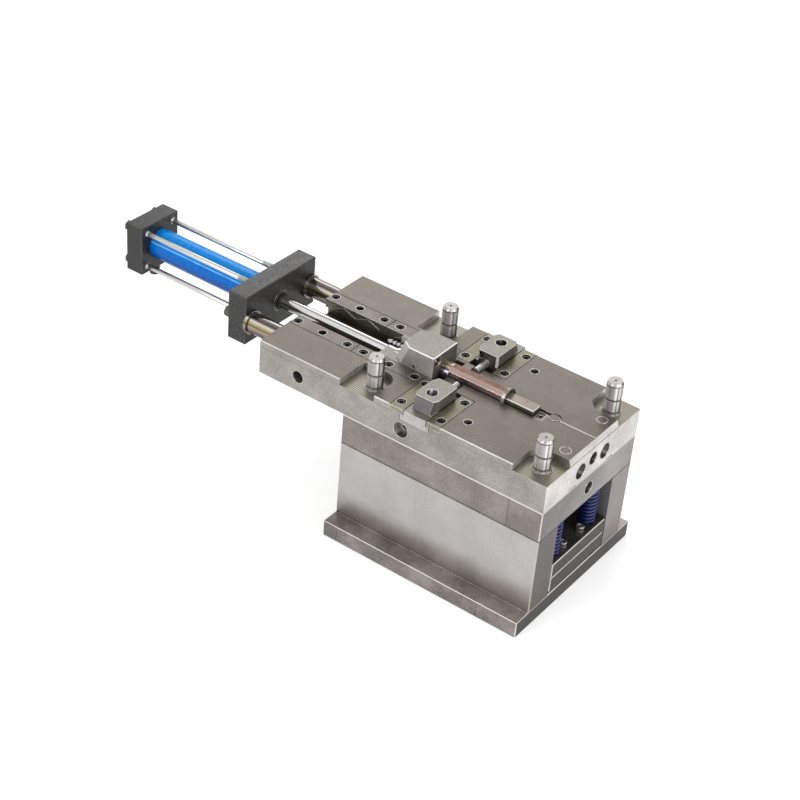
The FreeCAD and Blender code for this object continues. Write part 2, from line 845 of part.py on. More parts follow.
def core_end_stop():
    """The block behind the bar, with a square recess in its top."""
    high = parting - end_stop_drop
    half = end_bar_half_width
    rim = end_stop_rim
    land = end_stop_end - end_stop_land
    body = block(end_stop_start, end_stop_end, half, end_seat_floor, high, end_stop_break)
    floor = high - end_stop_recess_depth
    recess = box(end_stop_start + rim, land, rim - half, half - rim, floor, high + 1)
    return body.cut([recess, end_screw_hole(end_screws[1])])


def core_end_screws():
    """Screws that hold the bar and the stop from the cavity plate's underside."""
    bottom = support_top + head_recess
    length = end_seat_floor + thread_engagement / 2 - bottom - m8[2] - 1
    return group([screw_up(x, 0, bottom, length, m8) for x in end_screws])


def ejector_plate(z0, z1, cuts):
    plate = block(-half_length, half_length, spacer_inner - ejector_side_gap, z0, z1)
    holes = [rod_up(x, y, z0, z1, pillar_radius + pillar_clearance) for x, y in pillars_at]
    holes += [rod_up(x, y, z0, z1, bush_radius + fit_gap) for x, y in ejector_guides_at]
    holes += [rod_up(x, y, z0, z1, screw_hole(m8)) for x, y in ejector_screws_at]
    return plate.cut(holes + cuts)


def ejector_base_plate():
    knock_out_thread = rod_up(0, 0, ejector_bottom, ejector_mid, m14[0])
    return ejector_plate(ejector_bottom, ejector_mid, [knock_out_thread])


def headed_pins():
    """Place, radius, head radius and head height of each pin in the retainer plate."""
    pins = [(x, y, return_radius, return_head_radius, return_head_height) for x, y in return_pins_at]
    pins.append((puller_x, puller_y, puller_radius, puller_head_radius, return_head_height))
    small = (ejector_pin_radius, ejector_pin_head_radius, ejector_pin_head_height)
    pins += [(x, y) + small for x, y in ejector_pins_at()]
    return pins


def ejector_retainer_plate():
    cuts = []
    for x, y, radius, head_radius, head_height in headed_pins():
        cuts.append(rod_up(x, y, ejector_mid, ejector_top, radius + fit_gap))
        cuts.append(rod_up(x, y, ejector_mid, ejector_mid + head_height, head_radius + loose_gap))
    return ejector_plate(ejector_mid, ejector_top, cuts)


def headed_pin(pin, top, top_break):
    x, y, radius, head_radius, head_height = pin
    profile = [
        (head_radius, ejector_mid),
        (head_radius, ejector_mid + head_height),
        (radius, ejector_mid + head_height),
        (radius, top - top_break),
        (radius - top_break, top),
    ]
    return turned_up(x, y, profile)


def return_pins():
    return group([headed_pin(pin, parting, pin_top_break) for pin in headed_pins()[:2]])


def sprue_puller_pin():
    return headed_pin(headed_pins()[2], parting, pin_top_break)


def ejector_pins():
    """Thin pins that lift the moulding by its rim, beside the core."""
    top = parting - core_side_half - wall_thickness
    return group([headed_pin(pin, top, ejector_pin_break) for pin in headed_pins()[3:]])


def ejector_plate_screws():
    length = ejector_retainer_thickness + ejector_base_thickness - ejector_screw_short
    return group([screw_down(x, y, ejector_top + m8[2], length, m8) for x, y in ejector_screws_at])


def ejector_guide_bushes():
    inner = return_radius + fit_gap
    return group([ring_up(x, y, ejector_bottom, ejector_top, bush_radius, inner) for x, y in ejector_guides_at])


def return_spring(x, y):
    """A compression spring of flat wire, built as a faceted helix between its two seats."""
    half = spring_wire_height / 2
    low = ejector_top + half
    rise = (spacer_top - half - low) / (spring_turns * spring_sides)
    inner = spring_radius - spring_wire_width
    section = [(inner, -half), (spring_radius, -half), (spring_radius, half), (inner, half)]
    rings = []
    for i in range(spring_turns * spring_sides + 1):
        turn = math.radians(360.0 / spring_sides * i)
        z = low + rise * i
        rings.append([(x + r * math.cos(turn), y + r * math.sin(turn), z + dz) for r, dz in section])
    faces = [face_of(rings[0]), face_of(rings[-1])]
    for a, b in zip(rings, rings[1:]):
        for k in range(4):
            n = (k + 1) % 4
            faces.append(face_of([a[k], a[n], b[n]]))
            faces.append(face_of([a[k], b[n], b[k]]))
    shell = Part.makeShell(faces)
    shell.sewShape()
    coil = Part.makeSolid(Part.Shell(shell.Faces))
    return coil if coil.Volume > 0 else coil.reversed()


def return_springs():
    return group([return_spring(x, y) for x, y in return_pins_at + ejector_guides_at])


def cylinder_flange():
    z0 = rod_z - flange_half_height
    body = block(flange_back, flange_front, flange_half_width, z0, rod_z + flange_half_height)
    cuts = [rod_x(flange_back, flange_front, 0, rod_z, rod_radius + loose_gap)]
    cuts.append(rod_x(flange_front - gland_depth, flange_front, 0, rod_z, gland_radius + fit_gap))
    chamber_end = flange_back + port_inset + port_drill_radius
    cuts.append(rod_x(flange_back, chamber_end, 0, rod_z, tube_inner_radius - chamber_step))
    for y, z in corners(tie_offset, tie_offset):
        cuts.append(rod_x(flange_back, flange_back + thread_engagement, y, rod_z + z, tie_radius + 2 * fit_gap))
    for side in (-1, 1):
        cuts.append(rod_x(flange_back, flange_front, side * post_y, post_z, screw_hole(m12)))
    cuts.append(rod_up(flange_back + port_inset, 0, z0, rod_z, port_drill_radius))
    return body.cut(cuts)


def cylinder_tube():
    return ring_x(cap_front, flange_back, 0, rod_z, tube_outer_radius, tube_inner_radius)


def cylinder_end_cap():
    z0 = rod_z - cap_half_size
    body = block(cap_back, cap_front, cap_half_size, z0, rod_z + cap_half_size)
    cuts = []
    for y, z in corners(tie_offset, tie_offset):
        cuts.append(rod_x(cap_back, cap_front, y, rod_z + z, tie_radius + 2 * fit_gap))
    chamber_end = cap_front - port_inset - port_drill_radius
    cuts.append(rod_x(chamber_end, cap_front, 0, rod_z, tube_inner_radius - chamber_step))
    cuts.append(rod_up(cap_front - port_inset, 0, z0, rod_z, port_drill_radius))
    return body.cut(cuts)


def tie_rods():
    x0 = cap_back - tie_nut_height - tie_rod_stand_out
    x1 = flange_back + thread_engagement - 1
    return group([rod_x(x0, x1, y, rod_z + z, tie_radius) for y, z in corners(tie_offset, tie_offset)])


def tie_rod_nuts():
    x0 = cap_back - tie_nut_height
    solids = []
    for y, z in corners(tie_offset, tie_offset):
        nut = hex_along_x(x0, cap_back, y, rod_z + z, tie_nut_flats)
        nut = nut.common(rod_x(x0, cap_back, y, rod_z + z, tie_nut_flats * tie_nut_round))
        solids.append(nut.cut(rod_x(x0, cap_back, y, rod_z + z, tie_radius + 2 * fit_gap)))
    return group(solids)


def spacer_post(side):
    collar_end = flange_front + post_collar_length
    neck = post_radius - post_neck_depth
    profile = [
        (flange_front, post_collar_radius),
        (collar_end, post_collar_radius),
        (collar_end, neck),
        (collar_end + post_neck_length, neck),
        (collar_end + post_neck_length, post_radius),
        (cavity_left - post_neck_depth, post_radius),
        (cavity_left, neck),
    ]
    post = turned_along_x(side * post_y, post_z, profile)
    return post.cut(rod_x(flange_front, cavity_left, side * post_y, post_z, screw_hole(m12)))


def post_bolts():
    radius, head_radius, head_height, key = m12
    head_back = flange_back - head_height
    solids = []
    for side in (-1, 1):
        y = side * post_y
        head = rod_x(head_back, flange_back, y, post_z, head_radius)
        shank = rod_x(flange_back, cavity_left + thread_engagement, y, post_z, radius)
        bolt = head.fuse(shank).removeSplitter()
        solids.append(bolt.cut(hex_along_x(head_back, head_back + head_height / 2, y, post_z, key)))
    return group(solids)


def rod_gland():
    return ring_x(flange_front - gland_depth, flange_front + gland_lip, 0, rod_z, gland_radius,
                  rod_radius + fit_gap)


def rod_wiper():
    start = flange_front + gland_lip
    return ring_x(start, start + wiper_length, 0, rod_z, wiper_radius, rod_radius + fit_gap)


def port_fitting(x, face_z):
    """A short threaded port body under the cylinder, bored for the hose end."""
    body = rod_up(x, 0, face_z - port_body_length, face_z, port_body_radius)
    collar = hex_up(x, 0, face_z - port_body_length / 2, face_z, port_hex_flats)
    body = body.fuse(collar).removeSplitter()
    return body.cut(rod_up(x, 0, face_z - port_body_length, face_z, port_bore_radius))


def seal_starts():
    return [piston_back + seal_inset, piston_front - seal_inset - seal_section]


def piston():
    bore = rod_spigot_radius + fit_gap
    body = ring_x(piston_back, piston_front, 0, rod_z, tube_inner_radius - fit_gap, bore)
    root = tube_inner_radius - seal_section
    grooves = [ring_x(x, x + seal_section, 0, rod_z, tube_inner_radius + 1, root) for x in seal_starts()]
    return body.cut(grooves)


def piston_seals():
    root = tube_inner_radius - seal_section
    outer = tube_inner_radius - fit_gap
    return group([ring_x(x + fit_gap, x + seal_section - fit_gap, 0, rod_z, outer, root)
                  for x in seal_starts()])


def piston_rod():
    profile = [
        (piston_back - piston_nut_height - rod_break, rod_spigot_radius),
        (piston_front, rod_spigot_radius),
        (piston_front, rod_radius),
        (rod_end - rod_break, rod_radius),
        (rod_end, rod_radius - rod_break),
        (rod_end, rod_thread_radius),
        (rod_end + rod_thread_length, rod_thread_radius),
    ]
    return turned_along_x(0, rod_z, profile)


def piston_nut():
    start = piston_back - piston_nut_height
    nut = hex_along_x(start, piston_back, 0, rod_z, piston_nut_flats)
    return nut.cut(rod_x(start, piston_back, 0, rod_z, rod_spigot_radius + fit_gap))


def rod_coupling():
    """A T-headed coupling screwed on the rod; its head hangs in the slide's T-slot."""
    profile = [
        (rod_end, coupling_shank_radius - coupling_break),
        (rod_end + coupling_break, coupling_shank_radius),
        (coupling_head_start, coupling_shank_radius),
        (coupling_head_start, coupling_head_radius),
        (coupling_head_end - coupling_break, coupling_head_radius),
        (coupling_head_end, coupling_head_radius - coupling_break),
    ]
    depth = rod_thread_length + loose_gap
    cuts = [rod_x(rod_end, rod_end + depth, 0, rod_z, rod_thread_radius + fit_gap)]
    wide = coupling_head_radius
    for side in (-1, 1):
        flat = side * (coupling_shank_radius - coupling_flat_depth)
        cuts.append(box(rod_end, rod_end + coupling_flat_length, flat, side * wide, rod_z - wide, rod_z + wide))
    return turned_along_x(0, rod_z, profile).cut(cuts)


def slide_outline(lean):
    """The core slide in plan: a square front and a pointed back, further back when lean is large."""
    back = slide_back + slide_lean - lean
    shoulder = back + slide_corner_x
    w = slide_half_width
    c = slide_corner_y
    return [(slide_front, -w), (shoulder, -w), (back, -c), (back, c), (shoulder, w), (slide_front, w)]


def slide_tail_cuts(low):
    """The slots of the forked tail: the coupling's T-slot and the nipple's recess."""
    neck = coupling_shank_radius + loose_gap
    head = coupling_head_radius + loose_gap
    start = slide_tail_end - 1
    recess_floor = parting - nipple_recess_depth
    return [
        box(start, coupling_slot_start + 1, -neck, neck, low - 1, parting + 1),
        box(coupling_slot_start, coupling_slot_end, -head, head, low - 1, parting + 1),
        box(start, slide_back, 0, nipple_recess_y, recess_floor, parting + 1),
    ]


def core_slide():
    """The carrier of the core: a leaning head, a T-foot and a forked tail for the coupling."""
    top = parting + slide_height
    low = way_floor + loose_gap
    wires = []
    for lean, z in ((slide_lean, parting), (0.0, top)):
        loop = [FreeCAD.Vector(x, y, z) for x, y in slide_outline(lean)]
        wires.append(Part.makePolygon(loop + loop[:1]))
    head = Part.makeLoft(wires, True, True)
    lower_half = throat_half_width - loose_gap
    lower = box(slide_tail_end, slide_front, -lower_half, lower_half, low, parting)
    lower = broken_edges(lower, edge_break, lambda c: near(c.x, slide_tail_end) and not near(c.z, low))
    foot_half = rail_body_inner - loose_gap
    foot_top = rail_lip_bottom - loose_gap
    foot = box(slide_tail_end, way_end - 1, -foot_half, foot_half, low, foot_top)
    lower = lower.fuse(foot).cut(slide_tail_cuts(low))
    body = head.fuse(lower).removeSplitter()
    nipple_z = parting - nipple_below_parting
    tail_end = slide_front - core_tail_length
    eye_z = parting + slide_eye_above_parting
    side_eye_x = slide_front - side_eye_from_front
    side_eye_z = parting + side_eye_above_parting
    side_eye_bottom = side_eye_depth - slide_half_width
    body = body.cut([
        rod_x(tail_end - loose_gap, slide_front, 0, parting, core_tail_radius + fit_gap),
        rod_x(slide_back, slide_back + nipple_seat_depth, nipple_y, nipple_z, nipple_radius + fit_gap),
        rod_y(side_eye_x, -slide_half_width, side_eye_bottom, side_eye_z, side_eye_radius),
        rod_x(slide_front - slide_eye_depth, slide_front, slide_eye_y, eye_z, slide_eye_radius),
    ])
    return broken_edges(body, edge_break, lambda c: near(c.z, top))


def core_pin():
    """The main core: a tail in the slide, a collar and an octagonal shank."""
    collar_end = throat_end - loose_gap
    tail = rod_x(slide_front - core_tail_length, slide_front, 0, parting, core_tail_radius)
    collar = rod_x(slide_front, collar_end, 0, parting, core_collar_radius)
    shank = section_prism(core_section(0.0), collar_end, core_tip)
    shank = broken_edges(shank, core_tip_break, lambda c: near(c.x, core_tip))
    return tail.fuse([collar, shank]).removeSplitter()


def water_nipple():
    """A barbed hose nipple that feeds cooling water to the core slide."""
    z = parting - nipple_below_parting
    tip = slide_back - nipple_length
    hex_end = slide_back - 1
    hex_start = hex_end - nipple_hex_length
    seat_end = slide_back + nipple_seat_depth
    neck = nipple_neck_radius
    pitch = (hex_start - neck - tip) / nipple_barbs
    profile = []
    for i in range(nipple_barbs):
        x = tip + pitch * i
        crest = x + pitch * 0.7
        profile += [(x, neck), (crest, nipple_barb_radius), (x + pitch, nipple_barb_radius), (x + pitch, neck)]
    profile += [(hex_start, neck), (hex_start, nipple_radius), (seat_end, nipple_radius)]
    body = turned_along_x(nipple_y, z, profile)
    body = body.fuse(hex_along_x(hex_start, hex_end, nipple_y, z, nipple_flats)).removeSplitter()
    return body.cut(rod_x(tip, seat_end, nipple_y, z, nipple_bore_radius))


def side_head_cut(side, hand, inner, corner):
    """What is cut from one flank of a side slide's head: both its corners and its nose."""
    inset, reach = corner
    nose_inset, nose_length = side_nose
    half = side_head_half
    head_end = inner + side_top_length
    wedge_end = head_end + side_wedge_length
    plan = [
        (half + 1, inner - 1),
        (half - inset, inner - 1),
        (half - inset, inner),
        (half, inner + reach),
        (half, head_end - nose_length),
        (half - nose_inset, head_end),
        (half - nose_inset, wedge_end),
        (half + 1, wedge_end),
    ]
    outline = [(side_x + hand * x, side * y) for x, y in plan]
    return plan_prism(outline, parting, parting + side_rise + 1)


def side_slide(side, opened):
    """A slide with a T-foot, a chamfered head, a wedge heel and an inclined pin hole."""
    inner = side_inner + opened
    head_end = inner + side_top_length
    wedge_end = head_end + side_wedge_length
    top = parting + side_rise
    heel = parting - side_heel_drop
    tail = side_tail + opened
    low = side_floor + fit_gap
    profile = [(inner, low), (inner, top), (head_end, top), (wedge_end, heel), (tail, heel), (tail, low)]
    x0 = side_x - side_head_half
    body = face_of([(x0, side * y, z) for y, z in profile]).extrude(FreeCAD.Vector(2 * side_head_half, 0, 0))
    flanks = ((-1, side_corner_left), (1, side_corner_right))
    body = body.cut([side_head_cut(side, hand, inner, corner) for hand, corner in flanks])
    body = broken_edges(body, rail_edge_break, lambda c: near(c.z, top))
    foot_half = side_groove_half - side_foot_gap
    foot_top = gib_bottom - fit_gap
    foot = box(side_x - foot_half, side_x + foot_half, side * inner, side * tail, low, foot_top)
    body = body.fuse(foot).removeSplitter()
    tilt = math.radians(angle_pin_tilt)
    mouth = FreeCAD.Vector(side_x, side * (inner + angle_pin_from_inner), top)
    down = FreeCAD.Vector(0, side * math.sin(tilt), -math.cos(tilt))
    seat_end = inner + side_core_seat
    face_x = side_x - side_face_hole_x
    face_z = parting + side_face_hole_rise
    face_end = inner + side_face_hole_depth
    above = angle_pin_radius
    return body.cut([
        Part.makeCylinder(angle_pin_radius, angle_pin_depth + above, mouth - down * above, down),
        rod_y(side_x, side * inner, side * seat_end, parting, side_core_radius + fit_gap),
        rod_y(face_x, side * inner, side * face_end, face_z, side_face_hole_radius),
    ])


def side_core(side, opened):
    """The branch core: its tip meets the main core when the slide is in."""
    tip = side * (side_core_tip + opened)
    root = side * (side_inner + opened + side_core_seat)
    pin = rod_y(side_x, tip, root, parting, side_core_radius)
    return broken_edges(pin, side_core_break, lambda c: near(c.y, tip))


def parts():
    port_z = rod_z - flange_half_height
    cap_port_z = rod_z - cap_half_size
    made = {
        "bottom_clamp_plate": bottom_clamp_plate(),
        "spacer_block_front": spacer_block(-1),
        "spacer_block_rear": spacer_block(1),
        "support_plate": support_plate(),
        "cavity_plate": cavity_plate(),
        "rail_and_gib_screws": rail_and_gib_screws(),
        "assembly_screws": assembly_screws(),
        "spacer_screws": spacer_screws(),
        "stop_buttons": stop_buttons(),
        "ejector_guide_pins": ejector_guide_pins(),
        "support_pillars": support_pillars(),
        "core_end_bar": core_end_bar(),
        "core_end_stop": core_end_stop(),
        "core_end_screws": core_end_screws(),
        "ejector_base_plate": ejector_base_plate(),
        "ejector_retainer_plate": ejector_retainer_plate(),
        "return_pins": return_pins(),
        "sprue_puller_pin": sprue_puller_pin(),
        "ejector_pins": ejector_pins(),
        "ejector_plate_screws": ejector_plate_screws(),
        "ejector_guide_bushes": ejector_guide_bushes(),
        "return_springs": return_springs(),
        "cylinder_flange": cylinder_flange(),
        "cylinder_tube": cylinder_tube(),
        "cylinder_end_cap": cylinder_end_cap(),
        "tie_rods": tie_rods(),
        "tie_rod_nuts": tie_rod_nuts(),
        "spacer_post_front": spacer_post(-1),
        "spacer_post_rear": spacer_post(1),
        "post_bolts": post_bolts(),
        "rod_gland": rod_gland(),
        "rod_wiper": rod_wiper(),
        "port_fitting_flange": port_fitting(flange_back + port_inset, port_z),
        "port_fitting_cap": port_fitting(cap_front - port_inset, cap_port_z),
        "piston": piston(),
        "piston_seals": piston_seals(),
        "piston_rod": piston_rod(),
        "piston_nut": piston_nut(),
        "rod_coupling": rod_coupling(),
        "core_slide": core_slide(),
        "core_pin": core_pin(),
        "water_nipple": water_nipple(),
        "side_slide_front": side_slide(-1, front_slide_opening),
        "side_core_front": side_core(-1, front_slide_opening),
        "side_slide_rear": side_slide(1, side_travel),
        "side_core_rear": side_core(1, side_travel),
    }
    for x, x_name in ((-guide_x, "left"), (guide_x, "right")):
        for y, y_name in ((-guide_y, "front"), (guide_y, "rear")):
            made["guide_pin_" + y_name + "_" + x_name] = guide_pin(x, y)
    for side, name in ((-1, "front"), (1, "rear")):
        for place, (low, high) in rail_spans().items():
            made["slide_rail_" + name + "_" + place] = slide_rail(side, low, high)
        made["gib_" + name + "_left"] = gib(side, -1)
        made["gib_" + name + "_right"] = gib(side, 1)
    return made


os.makedirs("parts", exist_ok=True)
for name, shape in parts().items():
    shape.exportStep("parts/" + name + ".step")
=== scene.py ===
import json
import math

import bmesh
import bpy
from mathutils import Matrix, Vector


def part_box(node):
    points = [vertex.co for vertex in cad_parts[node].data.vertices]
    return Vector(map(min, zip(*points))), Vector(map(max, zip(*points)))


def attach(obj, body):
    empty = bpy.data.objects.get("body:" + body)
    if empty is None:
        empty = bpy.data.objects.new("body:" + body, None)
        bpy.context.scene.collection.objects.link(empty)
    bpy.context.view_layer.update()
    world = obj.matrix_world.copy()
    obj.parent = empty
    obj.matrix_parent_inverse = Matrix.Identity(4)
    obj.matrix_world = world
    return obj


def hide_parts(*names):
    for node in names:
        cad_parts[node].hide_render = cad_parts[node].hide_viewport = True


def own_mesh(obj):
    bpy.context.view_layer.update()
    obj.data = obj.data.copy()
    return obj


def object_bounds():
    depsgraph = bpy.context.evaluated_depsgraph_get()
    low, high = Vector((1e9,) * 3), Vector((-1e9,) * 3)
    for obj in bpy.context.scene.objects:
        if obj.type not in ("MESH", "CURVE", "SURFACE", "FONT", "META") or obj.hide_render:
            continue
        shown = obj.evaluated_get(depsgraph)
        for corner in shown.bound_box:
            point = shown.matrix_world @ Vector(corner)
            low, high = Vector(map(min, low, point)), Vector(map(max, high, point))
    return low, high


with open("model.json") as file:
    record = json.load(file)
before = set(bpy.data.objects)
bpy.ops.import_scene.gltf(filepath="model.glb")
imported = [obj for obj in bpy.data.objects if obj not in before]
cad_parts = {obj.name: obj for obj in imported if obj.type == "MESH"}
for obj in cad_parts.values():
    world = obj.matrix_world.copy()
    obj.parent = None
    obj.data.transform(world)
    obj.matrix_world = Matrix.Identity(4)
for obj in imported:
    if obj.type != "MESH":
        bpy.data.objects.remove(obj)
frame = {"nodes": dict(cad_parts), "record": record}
cad_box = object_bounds()

MM = 0.001

# Colours as they appear, in sRGB. A ground face has one for each way that it can face: up,
# along the sides, out of the +X end and out of the -X end. These are painted light and shade:
# lit and shaded tones of the same steel
PLATE = {"up": (0.44, 0.41, 0.375), "side": (0.65, 0.63, 0.61),
         "right": (0.87, 0.85, 0.84), "left": (0.66, 0.64, 0.62)}
SUPPORT = {"up": (0.50, 0.47, 0.44), "side": (0.58, 0.55, 0.53),
           "right": (0.62, 0.60, 0.60), "left": (0.60, 0.58, 0.56)}
CLAMP = {"up": (0.66, 0.63, 0.61), "side": (0.58, 0.55, 0.54),
         "right": (0.22, 0.20, 0.20), "left": (0.52, 0.50, 0.48)}
SPACER = {"up": (0.60, 0.59, 0.57), "side": (0.71, 0.695, 0.685),
          "right": (0.54, 0.51, 0.50), "left": (0.62, 0.60, 0.58)}
# The ejector plates sit in the chamber between the spacers, so all their tones are darker: painted shade
EJECTOR = {"up": (0.36, 0.34, 0.33), "side": (0.42, 0.40, 0.39),
           "right": (0.23, 0.205, 0.20), "left": (0.45, 0.42, 0.41)}
RAIL = {"up": (0.47, 0.435, 0.415), "side": (0.46, 0.44, 0.40),
        "right": (0.55, 0.52, 0.46), "left": (0.52, 0.49, 0.44)}
GIB = {"up": (0.50, 0.475, 0.40), "side": (0.62, 0.60, 0.55),
       "right": (0.50, 0.48, 0.40), "left": (0.50, 0.48, 0.40)}
SLIDE = {"up": (0.55, 0.535, 0.50), "side": (0.76, 0.73, 0.72),
         "right": (0.44, 0.42, 0.39), "left": (0.70, 0.68, 0.68)}
# The rear side slide's flanks lie in shade: a darker side tone, painted shade
REAR_SLIDE_SHADED = dict(SLIDE, side=(0.36, 0.33, 0.325))
END_BAR = {"up": (0.58, 0.535, 0.485), "side": (0.40, 0.37, 0.33),
           "right": (0.36, 0.33, 0.28), "left": (0.60, 0.56, 0.52)}
WHITE = (1.0, 1.0, 1.0)
# Bright metal: cutter lines, the scribed line and worn edges, and the painted highlight on edges and
# chamfers
BRIGHT_EDGE = (0.90, 0.885, 0.87)
# Grime in the seams between the plates, and the colour of painted shade in corners, holes and rings
GRIME_AND_SHADE = (0.16, 0.13, 0.10)
OXIDE = (0.14, 0.135, 0.135)
# Black oxide made darker: painted shade of the counterbores and of the inside of the lifting holes
DARK_SCREW = (0.055, 0.05, 0.048)
HOLE_SHADE = (0.07, 0.06, 0.055)
HARDENED = (0.82, 0.81, 0.81)
BRIGHT = (0.80, 0.80, 0.80)
BRONZE = (0.62, 0.44, 0.24)
SPRING_BLUE = (0.06, 0.11, 0.38)
ZINC = (0.86, 0.86, 0.85)
ALUMINIUM = (0.70, 0.70, 0.70)
RUBBER = (0.05, 0.05, 0.05)
STAIN = (0.30, 0.23, 0.17)
SEAM_GRIME = (0.10, 0.085, 0.07)
POCKET_FLOOR = (0.38, 0.355, 0.27)
LEANING_SHADE = (0.42, 0.39, 0.405)
RIM = (0.86, 0.85, 0.84)
PIN_END = (0.66, 0.64, 0.63)
# The core, with its reflections painted in by the way each face looks: its top facet, its shoulders
# and its flanks, its collar, and a painted highlight on its edges
CORE_TOP = (0.34, 0.25, 0.215)
CORE_SHOULDER = (0.74, 0.65, 0.62)
CORE_FLANK = (0.66, 0.59, 0.61)
CORE_COLLAR = (0.40, 0.36, 0.40)
CORE_EDGE_HIGHLIGHT = (0.97, 0.89, 0.84)
CORE_BANDS = [(0.0, CORE_FLANK), (0.62, CORE_FLANK), (0.78, CORE_SHOULDER), (0.93, CORE_SHOULDER),
              (0.985, CORE_TOP)]
COLLAR_BANDS = [(0.0, CORE_COLLAR), (0.66, CORE_COLLAR), (0.76, (0.62, 0.58, 0.64)),
                (0.84, (0.34, 0.30, 0.30)), (0.93, (0.90, 0.86, 0.76)), (0.97, (0.42, 0.37, 0.33)),
                (1.0, (0.86, 0.80, 0.66))]
# The posts and the tube: one colour for each way that the surface faces, from under to over. These
# are painted reflections, light and shade, and on the tube a thin painted highlight band
POST_BANDS = [(0.0, (0.70, 0.69, 0.68)), (0.30, (0.24, 0.17, 0.14)), (0.42, (0.50, 0.42, 0.38)),
              (0.56, (0.62, 0.60, 0.57)), (0.68, (0.52, 0.46, 0.30)), (0.78, (0.78, 0.74, 0.58)),
              (0.86, (0.92, 0.91, 0.88)), (0.93, (0.34, 0.30, 0.29)), (1.0, (0.55, 0.53, 0.52))]
TUBE_BANDS = [(0.0, (0.0, 0.20, 0.46)), (0.40, (0.0, 0.32, 0.64)), (0.60, (0.0, 0.40, 0.73)),
              (0.72, (0.0, 0.44, 0.80)), (0.745, (0.55, 0.75, 0.88)), (0.77, (0.0, 0.48, 0.85)),
              (0.93, (0.0, 0.56, 0.92)), (1.0, (0.04, 0.58, 0.94))]
# The guide pins: one colour for each way round that the surface faces, from -X through -Y, +X and +Y,
# as painted reflections
PIN_BANDS = [(0.0, (0.62, 0.61, 0.60)), (0.06, (0.40, 0.38, 0.38)), (0.10, (0.86, 0.85, 0.85)),
             (0.19, (0.84, 0.83, 0.83)), (0.23, (0.62, 0.60, 0.60)), (0.34, (0.74, 0.72, 0.72)),
             (0.365, (0.97, 0.97, 0.97)), (0.385, (0.95, 0.95, 0.95)), (0.40, (0.34, 0.31, 0.31)),
             (0.43, (0.88, 0.87, 0.87)), (0.47, (0.80, 0.79, 0.79)), (0.50, (0.24, 0.21, 0.21)),
             (0.56, (0.34, 0.31, 0.31)), (0.62, (0.80, 0.79, 0.79)), (0.76, (0.60, 0.59, 0.58)),
             (0.86, (0.90, 0.89, 0.89)), (1.0, (0.62, 0.61, 0.60))]
# The rod: painted reflections, one colour for each way that the surface faces, from under to over
ROD_BANDS = [(0.0, (0.85, 0.85, 0.85)), (0.42, (0.50, 0.50, 0.51)), (0.52, (0.92, 0.92, 0.92)),
             (0.66, (0.70, 0.70, 0.71)), (0.72, (0.34, 0.34, 0.35)), (0.77, (0.93, 0.93, 0.93)),
             (0.94, (0.95, 0.95, 0.95)), (0.965, (0.60, 0.60, 0.61)), (1.0, (0.85, 0.85, 0.85))]


def linear(colour):
    """sRGB to the linear values that a shader takes."""
    def one(c):
        return c / 12.92 if c <= 0.04045 else ((c + 0.055) / 1.055) ** 2.4
    return tuple(one(c) for c in colour) + (1.0,)


